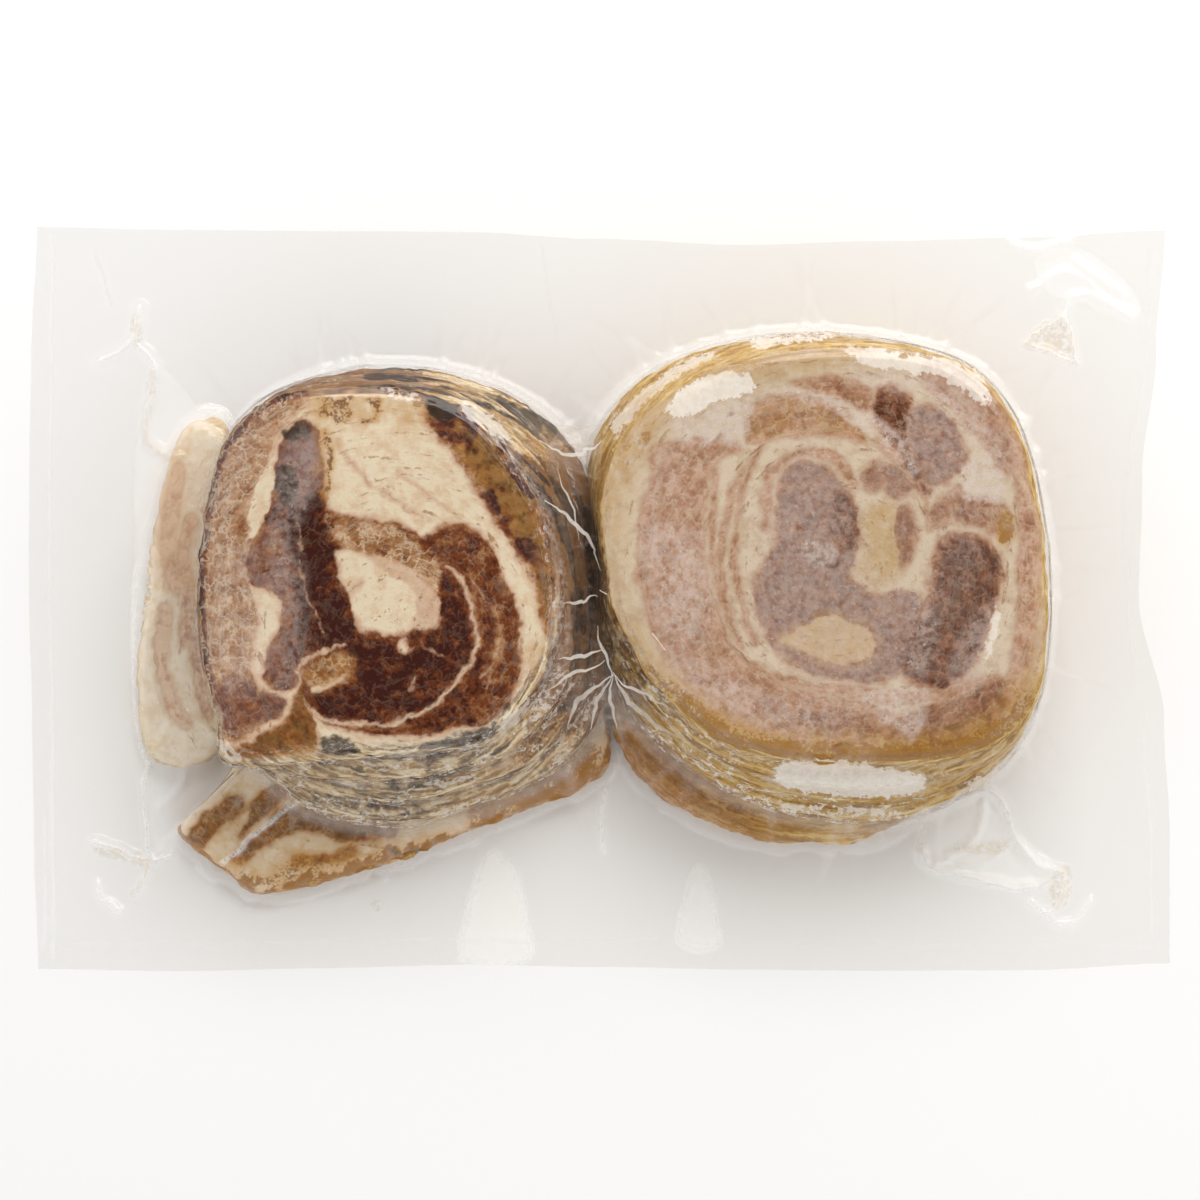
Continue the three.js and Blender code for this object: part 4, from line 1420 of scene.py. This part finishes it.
def film_saddle():
    made = bmesh.new()
    bmesh.ops.create_grid(
        made, x_segments=SADDLE_CELLS[0], y_segments=SADDLE_CELLS[1], size=0.5
    )
    mesh = bpy.data.meshes.new("saddle")
    made.to_mesh(mesh)
    made.free()
    across, part, _ = corners_of(mesh).T + 0.5
    y = SADDLE_NEAR + (SADDLE_FAR - SADDLE_NEAR) * part
    ends = np.abs(2 * part - 1) ** 5
    rim_z = TOP - SADDLE_DROP - SADDLE_END_DROP * ends
    level = (TOP - rim_z) / SLICE
    left = side_of(left_radius, LEFT_CENTRE, 0, y, level) - 0.6 * MM
    right = side_of(right_radius, RIGHT_CENTRE, np.pi, y, level) + 0.6 * MM
    x = left + (right - left) * across
    sag = 4 * across * (1 - across)
    fold_at = (y + 0.25 * x, across * 4 * MM)
    fold = np.clip(1 - np.abs(bumps(fold_at, 7 * MM, 77, 2)) * 3.2, 0, 1)
    deep = np.minimum(SADDLE_DEEPEST, (right - left) * 0.5 + 2 * MM)
    z = rim_z - sag * deep * (1 - 0.4 * ends) + fold * 0.9 * MM * sag**0.5
    move_corners(mesh, x, y, z)
    canvas = film_canvas(mesh, 0.0)
    layers = canvas["layers"]
    layers["veil"] += 0.3 * fold**3 * soft_step(bumps(fold_at, 5 * MM, 78), -0.3, 0.5)
    layers["run"] = np.stack([across * 2, y / (2 * MM), across], axis=1)
    layers["folds"] += 0.1
    layers["juice"] += 0.1
    notch = soft_step(part, 0.8, 0.93)
    layers["veil"] += 0.28 * notch * soft_step(bumps((x, y), 4 * MM, 79), -0.6, 0.4)
    layers["juice"] += 0.35 * notch
    write_layers(mesh, layers)
    return piece_of("film_saddle", mesh, drawn_film, "clear_film")


film_saddle()

STRAND_CELLS = 4
STRAND_WOBBLE = 2.6

# Each strand: its line in the photograph, height at both ends and width in mm.
STRANDS = [
    ([(545, 500), (568, 516), (590, 540), (600, 570)], 38, 34, 1.0),
    ([(560, 602), (580, 600), (598, 598)], 36, 35, 0.9),
    ([(558, 658), (580, 655), (604, 652)], 35, 35, 1.1),
    ([(600, 590), (620, 602), (642, 622), (665, 650)], 38, 41.5, 1.0),
    ([(620, 541), (632, 537), (648, 534)], 38, 41, 0.8),
    ([(600, 545), (612, 560), (618, 580)], 37, 37, 0.6),
    ([(540, 440), (560, 452), (580, 456), (592, 448), (602, 442)], 38, 38, 1.0),
    ([(612, 674), (590, 690), (575, 708), (566, 728)], 33, 22, 1.3),
    ([(612, 674), (598, 700), (592, 730)], 33, 18, 1.0),
    ([(612, 674), (612, 700), (618, 728)], 33, 16, 0.9),
    ([(612, 674), (626, 694), (650, 720), (690, 746)], 33, 24, 1.3),
    ([(612, 674), (640, 690), (668, 706)], 34, 36, 0.8),
    ([(604, 662), (575, 672), (548, 690)], 33, 34, 0.9),
    ([(596, 628), (606, 650), (612, 674)], 33, 33, 0.8),
    ([(556, 470), (572, 500), (580, 540)], 37, 34, 0.5),
]


def white_strands():
    """Narrow ribbons of folded film, arched a little and thin at their ends."""
    made = bmesh.new()
    lines = []
    for points, first_z, last_z, wide in STRANDS:
        line = smooth_line(points, False, 8)
        along_it = (np.arange(len(line)), np.full(len(line), first_z + 10 * wide))
        wobble = np.stack([bumps(along_it, 5, 91), bumps(along_it, 5, 92)], axis=1)
        lines.append((line + STRAND_WOBBLE * wobble, first_z, last_z, wide))
    for line, *_ in lines:
        bmesh.ops.create_grid(made, x_segments=len(line) - 1, y_segments=STRAND_CELLS, size=0.5)
    mesh = bpy.data.meshes.new("strands")
    made.to_mesh(mesh)
    made.free()
    spots = corners_of(mesh)
    start = 0
    for line, first_z, last_z, wide in lines:
        stop = start + len(line) * (STRAND_CELLS + 1)
        part = spots[start:stop, 0] + 0.5
        aside = spots[start:stop, 1]
        rise = (first_z + (last_z - first_z) * part) * MM
        count = np.round(part * (len(line) - 1)).astype(int)
        pixels = line[count]
        pixel = pixel_at(rise)
        middle_x = (pixels[:, 0] - PHOTO_MIDDLE) * pixel
        middle_y = (PHOTO_MIDDLE - pixels[:, 1]) * pixel
        heading = np.gradient(line, axis=0)[count]
        length = np.hypot(*heading.T)
        half = wide * MM * (0.2 + 0.8 * np.sin(np.pi * np.clip(part, 0.02, 0.98)) ** 2)
        spots[start:stop, 0] = middle_x + aside * half * heading[:, 1] / length
        spots[start:stop, 1] = middle_y + aside * half * heading[:, 0] / length
        spots[start:stop, 2] = rise + 0.5 * MM * (1 - 4 * aside**2)
        start = stop
    move_corners(mesh, *spots.T)
    canvas = film_canvas(mesh, 0.55)
    canvas["layers"]["air"] += 11
    canvas["layers"]["air_strength"] *= 0.7
    canvas["layers"]["run"] = spots / (3 * MM)
    write_layers(mesh, canvas["layers"])
    return piece_of("film_strands", mesh, drawn_film, "clear_film")


white_strands()

# ---------------------------------------------------------------------------
# The flat of the pouch: front and back film laid together all round the meat,
# sealed along three edges. The vacuum draws the edges in and leaves soft waves,
# creases that run out from the stacks, and small tents at the corners.

POUCH_LENGTH = 300 * MM
POUCH_WIDTH = 196 * MM
FILM = 0.8 * MM  # the two films, each 0.09 mm thick, with the air left between them
FLANGE_CLEARANCE = 0.3 * MM
FRONT_CELLS = (430, 280)
BACK_CELLS = (150, 98)
WRINKLES_ROUND_A_STACK = 95
WRINKLE_LENGTH = (5, 26)
WRINKLE_WIDTH = (0.5, 1.3)
WRINKLE_HEIGHT = (0.15, 0.6)

# How far each edge is drawn in, in millimetres, at even steps along it.
FAR_EDGE = [-0.6, 0.2, 0.5, 0.7, 2.6, 4.2, 3.1, 2.1, 0.2]
NEAR_EDGE = [0.5, 0, 0.7, 1.5, 1.0, 0.4, 0, 0, 1.8]
LEFT_EDGE = [1.6, 0.5, -0.3, -1.1, -0.8, -0.3, 1.1]
RIGHT_EDGE = [-0.8, -0.6, 1.1, 8.0, 7.0, 3.0, 0.5]


def drawn_in(steps, part):
    """How far an edge of the pouch is drawn in, from an evenly stepped list."""
    steps = np.array(steps) * MM
    place = part * (len(steps) - 1)
    before = np.clip(np.floor(place).astype(int), 0, len(steps) - 2)
    blend = soft_step(place - before)
    return steps[before] * (1 - blend) + steps[before + 1] * blend


def flange_wave(u, v):
    edge = np.maximum(np.abs(u - 0.5), np.abs(v - 0.5)) * 2
    lift = soft_step(edge, 0.55, 1)
    wave = 1.6 + np.sin(u * 11 + 0.6) * np.cos(v * 7.5) + 0.6 * np.sin(v * 12 + u * 5)
    right_middle = np.exp(-(((u - 1) / 0.12) ** 2) - ((v - 0.58) / 0.18) ** 2)
    return FLANGE_CLEARANCE + (lift * np.maximum(wave, 0) + 3.5 * right_middle) * MM


def flat_sheet(cells_long, cells_wide):
    """The pouch's flat outline as a sheet of cells, with each corner's place in it."""
    made = bmesh.new()
    bmesh.ops.create_grid(made, x_segments=cells_long, y_segments=cells_wide, size=0.5)
    mesh = bpy.data.meshes.new("sheet")
    made.to_mesh(mesh)
    made.free()
    u, v, _ = corners_of(mesh).T + 0.5
    left = -POUCH_LENGTH / 2 + drawn_in(LEFT_EDGE, v)
    right = POUCH_LENGTH / 2 - drawn_in(RIGHT_EDGE, v)
    near = -POUCH_WIDTH / 2 + drawn_in(NEAR_EDGE, u)
    far = POUCH_WIDTH / 2 - drawn_in(FAR_EDGE, u)
    return mesh, u, v, left * (1 - u) + right * u, near * (1 - v) + far * v


def into_outline(radius, centre, x, y):
    """Distance into a round outline, below zero outside it, and the bearing."""
    angle = np.arctan2(y - centre[1], x - centre[0])
    return radius(angle) - np.hypot(x - centre[0], y - centre[1]), angle


# Creases: the line of each in the photograph, its height in millimetres, the
# half width of its foot, and how white the film has gone along it.
CREASES = [
    ([(157, 368), (150, 400), (146, 430), (158, 450), (185, 458)], 3.4, 2.4, 0.3),
    ([(100, 365), (128, 345), (138, 330), (140, 308)], 3.0, 3.0, 0.5),
    ([(137, 345), (148, 355), (157, 368)], 2.2, 2.6, 0.5),
    ([(95, 250), (104, 275), (112, 305)], 0.8, 1.8, 0.12),
    ([(185, 425), (205, 432), (222, 445)], 2.4, 1.6, 0.5),
    ([(94, 842), (118, 850), (150, 862), (172, 856)], 3.2, 2.2, 0.6),
    ([(136, 893), (146, 876), (150, 862)], 3.0, 2.2, 0.6),
    ([(150, 862), (147, 820), (145, 786), (152, 755)], 3.0, 1.8, 0.35),
    ([(96, 882), (104, 898), (118, 910)], 1.4, 2.6, 0.4),
    ([(150, 862), (170, 842), (185, 826)], 2.4, 2.2, 0.3),
    ([(152, 755), (166, 735), (182, 712), (200, 722), (218, 738)], 4.4, 2.2, 0.4),
    ([(182, 712), (188, 740), (184, 780), (160, 810)], 2.4, 2.0, 0.25),
    ([(225, 862), (250, 838), (275, 818), (300, 800)], 8.8, 1.2, 0.9),
    ([
        (932, 812), (960, 796), (984, 790), (1004, 806), (1014, 838), (1030, 860), (1060, 872),
    ], 5.0, 2.6, 0.4),
    ([(920, 850), (930, 866), (980, 880), (1022, 888), (1060, 872)], 3.8, 2.4, 0.4),
    ([(984, 790), (976, 830), (960, 850), (930, 866)], 2.6, 2.0, 0.25),
    ([(1014, 838), (985, 862), (960, 868)], 2.0, 2.0, 0.2),
    ([(1060, 872), (1064, 888), (1056, 908), (1046, 912)], 2.6, 2.2, 0.6),
    ([(1030, 900), (1060, 924), (1078, 918), (1088, 900)], 1.6, 2.6, 0.5),
    ([(1024, 344), (1042, 330), (1063, 314)], 2.8, 1.8, 0.45),
    ([(1063, 314), (1070, 335), (1076, 364)], 2.4, 1.8, 0.45),
    ([(1024, 344), (1050, 352), (1076, 364)], 1.6, 1.6, 0.4),
    ([(1063, 314), (1076, 296), (1104, 300), (1130, 318)], 1.4, 3.2, 0.3),
    ([(1030, 290), (1062, 274), (1086, 282), (1100, 300)], 1.2, 3.2, 0.3),
    ([(1010, 244), (1040, 250), (1070, 240)], 0.9, 2.6, 0.25),
    ([(1076, 262), (1096, 276), (1120, 292)], 0.9, 2.4, 0.25),
    ([(385, 880), (392, 868), (402, 858)], 1.4, 1.2, 0.3),
    ([(540, 232), (546, 280), (560, 350)], 0.5, 1.6, 0.1),
    ([(604, 850), (602, 820), (606, 790)], 1.6, 1.6, 0.3),
]
# Amber juice caught in the corners, the milky places of the flange and two painted
# reflections of the lamp near the front seal, as how white each is with its outline,
# and the seals, as line, height in mm and whiteness.
JUICE_IN_CORNERS = [
    [
        (150, 372), (158, 372), (156, 400), (150, 430), (160, 446), (186, 452), (184, 462),
        (156, 456), (142, 432), (146, 400),
    ],
    [(132, 318), (140, 316), (142, 340), (134, 350)],
    [(96, 846), (150, 856), (152, 866), (134, 896), (130, 892), (142, 868), (100, 856)],
    [(1052, 872), (1068, 866), (1072, 890), (1062, 908), (1050, 900)],
    [(1024, 344), (1060, 314), (1074, 356), (1044, 352)],
    [(372, 902), (380, 902), (382, 910), (374, 911)],
    [(146, 738), (160, 740), (158, 756), (146, 756)],
    [(956, 846), (1006, 842), (1010, 850), (960, 854)],
]
MILKY_PLACES_AND_REFLECTIONS = [
    (0.2, [
        (140, 440), (190, 432), (214, 440), (206, 520), (196, 600), (214, 700), (190, 730),
        (150, 740), (138, 600),
    ]),
    (0.42, [(935, 800), (990, 786), (1012, 830), (1058, 876), (1000, 888), (926, 866), (918, 848)]),
    (0.2, [(157, 368), (190, 400), (215, 440), (185, 458), (158, 450), (146, 430)]),
    (0.2, [(150, 760), (182, 708), (222, 735), (230, 780), (190, 825), (160, 850)]),
    (0.2, [(1036, 260), (1080, 250), (1132, 290), (1130, 320), (1080, 300), (1050, 292)]),
    # painted reflections: two D-shaped pale patches where the lamp shows in the flange's curve
    (0.8, [(463, 959), (470, 905), (482, 866), (494, 854), (512, 870), (524, 905), (526, 959)]),
    (0.4, [(680, 946), (684, 905), (696, 868), (708, 880), (716, 915), (716, 946)]),
]
SEALS = [
    ([(52, 236), (51, 400), (50, 600), (52, 800), (54, 960)], 0.5, 0.10),
    ([(44, 820), (45, 880), (44, 950)], 0.35, 0.08),
    ([
        (1150, 250), (1143, 360), (1128, 470), (1128, 600), (1142, 720), (1152, 860), (1152, 950),
    ], 0.4, 0.07),
    ([(56, 944), (300, 942), (560, 938), (800, 944), (1150, 946)], 0.4, 0.05),
]


def front_of_flange():
    mesh, u, v, x, y = flat_sheet(*FRONT_CELLS)
    sheet = flange_wave(u, v) + FILM
    left_in, left_angle = into_outline(lambda a: left_radius(a, 3.0), LEFT_CENTRE, x, y)
    right_in, right_angle = into_outline(lambda a: right_radius(a, 3.0), RIGHT_CENTRE, x, y)

    # up over the low slices, with a scalloped line where it leaves them
    lift = np.zeros(len(x))
    halo = np.zeros(len(x))
    for outline, centre, thick, glow in (
        (RIGHT_LOWEST, (54, 2), LOW_TOP, 0.12),
        (LEFT_LOWEST, (-56, -12), LOW_TOP, 0.2),
        (LEFT_STRIP, (-109, 2), 7.2 * MM, 0.5),
    ):
        centre = (centre[0] * MM, centre[1] * MM)
        inside, _ = into_outline(round_outline(in_metres(outline), centre), centre, x, y)
        inside = inside + 0.9 * MM * bumps((x, y), 6 * MM, 12)
        rise = soft_step(inside, -4.5 * MM, 2.6 * MM) ** 1.3
        crest = 0.35 * MM * soft_step(inside, 0, 9 * MM)
        lift = np.maximum(lift, rise * (thick - 0.4 * MM) + crest)
        line = np.exp(-(((inside + 2.6 * MM) / (0.7 * MM)) ** 2))
        band = soft_step(inside, -3.4 * MM, -2 * MM) * (1 - soft_step(inside, -1 * MM, 1 * MM))
        halo = np.maximum(halo, glow * np.maximum(line, 0.45 * band))
    # a concave skirt up the foot of each stack
    for inside in (left_in, right_in):
        # painted highlight: a pale band at each stack's foot, laid over the shade where the film meets
        # the flange
        halo = np.maximum(halo, 0.22 * np.exp(-(((inside + 1.5 * MM) / (1.6 * MM)) ** 2)))
        skirt = np.clip(1 + inside / SKIRT, 0, None)
        lift = np.maximum(lift, 3.2 * MM * np.minimum(skirt, 1) ** 3 + np.clip(inside, 0, None) * 3.2)

    # wrinkles that run out from the stacks
    draw = np.random.default_rng(11)
    wrinkle = np.zeros(len(x))
    for inside, angle in ((left_in, left_angle), (right_in, right_angle)):
        for _ in range(WRINKLES_ROUND_A_STACK):
            bearing = draw.uniform(-np.pi, np.pi)
            length = draw.uniform(*WRINKLE_LENGTH) * MM
            width = draw.uniform(*WRINKLE_WIDTH) * MM
            height = draw.uniform(*WRINKLE_HEIGHT) * MM
            lean = draw.uniform(-0.5, 0.5)
            out = -inside
            off = (angle - bearing + np.pi) % (2 * np.pi) - np.pi
            side = off * (out + 50 * MM) - lean * out
            fade = np.clip(1 - out / length, 0, 1) * soft_step(out, -3 * MM, 2 * MM)
            wrinkle = wrinkle + height * fade * np.exp(-((side / width) ** 2))
    ripple = 0.16 * MM * bumps((x, y), 14 * MM, 21) + 0.05 * MM * bumps((x, y), 4 * MM, 22)

    level_z = sheet + lift + wrinkle + ripple
    move_corners(mesh, x, y, level_z)
    # painted shade: the flat film grows denser and darker towards the near edge, where the stacks'
    # shadow falls
    below = soft_step(-y, -20 * MM, 85 * MM)
    canvas = film_canvas(mesh, 0.0)
    layers = canvas["layers"]
    layers["veil"] = 0.055 + 0.015 * below + halo
    ridge = np.zeros(len(x))
    for line, height, half, white in CREASES:
        off = along(canvas, line, 0) * -MM
        back = np.clip(1 - off / (half * MM), 0, 1)
        ridge = np.maximum(ridge, height * MM * back**1.6)
        layers["veil"] = np.maximum(layers["veil"], white * np.clip(1 - off / (0.9 * MM), 0, 1))
    for line, height, white in SEALS:
        mark = np.clip(1 + along(canvas, line, 0) * MM / (0.6 * MM), 0, 1)
        ridge = np.maximum(ridge, height * MM * mark)
        layers["veil"] += white * mark
    bare = np.clip(1 - lift / (6 * MM), 0.25, 1)
    z = level_z + ridge * bare
    layers["veil"] += np.clip(wrinkle / MM, 0, 1) * 0.15
    # milky film, and the two painted reflections of the lamp
    for strength, patch in MILKY_PLACES_AND_REFLECTIONS:
        tint(canvas, "veil", strength, within(canvas, patch), 3)
    for patch in JUICE_IN_CORNERS:
        tint(canvas, "juice", 0.6, within(canvas, patch), 2)
    move_corners(mesh, x, y, z)
    write_layers(mesh, layers)

    # the stacks' own film takes over inside their outlines
    deep = np.maximum(left_in, right_in) > 2.4 * MM
    made = bmesh.new()
    made.from_mesh(mesh)
    made.verts.ensure_lookup_table()
    bmesh.ops.delete(made, geom=[made.verts[i] for i in np.flatnonzero(deep)], context="VERTS")
    made.to_mesh(mesh)
    made.free()
    return piece_of("film_front", mesh, flat_film, "clear_film")


def back_film():
    mesh, u, v, x, y = flat_sheet(*BACK_CELLS)
    under = np.full(len(x), -np.inf)
    for outline, centre in (
        (LEFT_FOOT, (-54, 4)), (RIGHT_FOOT, (57, 8)), (RIGHT_LOWEST, (54, 2)),
        (LEFT_LOWEST, (-56, -12)), (LEFT_STRIP, (-109, 2)),
    ):
        centre = (centre[0] * MM, centre[1] * MM)
        inside, _ = into_outline(round_outline(in_metres(outline), centre), centre, x, y)
        under = np.maximum(under, inside)
    flat = soft_step(under, -8 * MM, -1 * MM)
    z = flange_wave(u, v) * (1 - flat) + 0.08 * MM
    move_corners(mesh, x, y, z)
    canvas = film_canvas(mesh, 0.055)
    write_layers(mesh, canvas["layers"])
    return piece_of("film_back", mesh, flat_film, "clear_film")


film_front = front_of_flange()
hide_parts("vacuum_pouch")
back_film()

# ---------------------------------------------------------------------------
# The floor is a sheet of white paper, and the light is soft: a bright room that
# is dim only straight overhead, where the camera hangs, so the film's gloss
# doesn't grey the meat, and one broad lamp from the far side.

paper, tree = new_material("white_paper")
sheen = {"Base Color": linear("#fcfbfa"), "Roughness": 0.9, "Specular IOR Level": 0.0}
paper_shader = add(tree, "ShaderNodeBsdfPrincipled", sheen)
add(tree, "ShaderNodeOutputMaterial", {"Surface": paper_shader.outputs[0]})

made = bmesh.new()
bmesh.ops.create_grid(made, x_segments=2, y_segments=2, size=3.0)
mesh = bpy.data.meshes.new("floor")
made.to_mesh(mesh)
made.free()
mesh.materials.append(paper)
floor = bpy.data.objects.new("floor", mesh)
bpy.context.scene.collection.objects.link(floor)

world = bpy.data.worlds.new("soft_room")
world.use_nodes = True
tree = world.node_tree
tree.nodes.clear()
towards = add(tree, "ShaderNodeTexCoord").outputs["Generated"]
upward = add(tree, "ShaderNodeSeparateXYZ", {0: towards})
overhead = {
    "Value": upward.outputs[2], "From Min": 0.72, "From Max": 0.96, "To Min": 1.2, "To Max": 0.1,
}
glow = add(tree, "ShaderNodeMapRange", overhead, interpolation_type="SMOOTHSTEP")
room = add(tree, "ShaderNodeBackground", {"Strength": glow.outputs[0]})
add(tree, "ShaderNodeOutputWorld", {"Surface": room.outputs[0]})
bpy.context.scene.world = world

LAMP_PLACE = Vector((0.3, 1.0, 0.95))
lamp = bpy.data.lights.new("broad_lamp", "AREA")
lamp.shape = "RECTANGLE"
lamp.size = 1.2
lamp.size_y = 0.6
lamp.energy = 12
lamp_object = bpy.data.objects.new("broad_lamp", lamp)
lamp_object.location = LAMP_PLACE
lamp_object.rotation_euler = LAMP_PLACE.to_track_quat("Z", "Y").to_euler()
bpy.context.scene.collection.objects.link(lamp_object)

bpy.context.scene.cycles.transparent_max_bounces = 12
bpy.context.scene.cycles.max_bounces = 4
bpy.context.scene.cycles.diffuse_bounces = 2

camera = bpy.data.cameras.new("camera")
camera.sensor_width = 36
camera.lens = camera.sensor_width * CAMERA_HEIGHT / (PHOTO_SIZE * PHOTO_PIXEL)
camera_object = bpy.data.objects.new("camera", camera)
camera_object.location = (0, 0, CAMERA_HEIGHT)
bpy.context.scene.collection.objects.link(camera_object)
bpy.context.scene.camera = camera_object
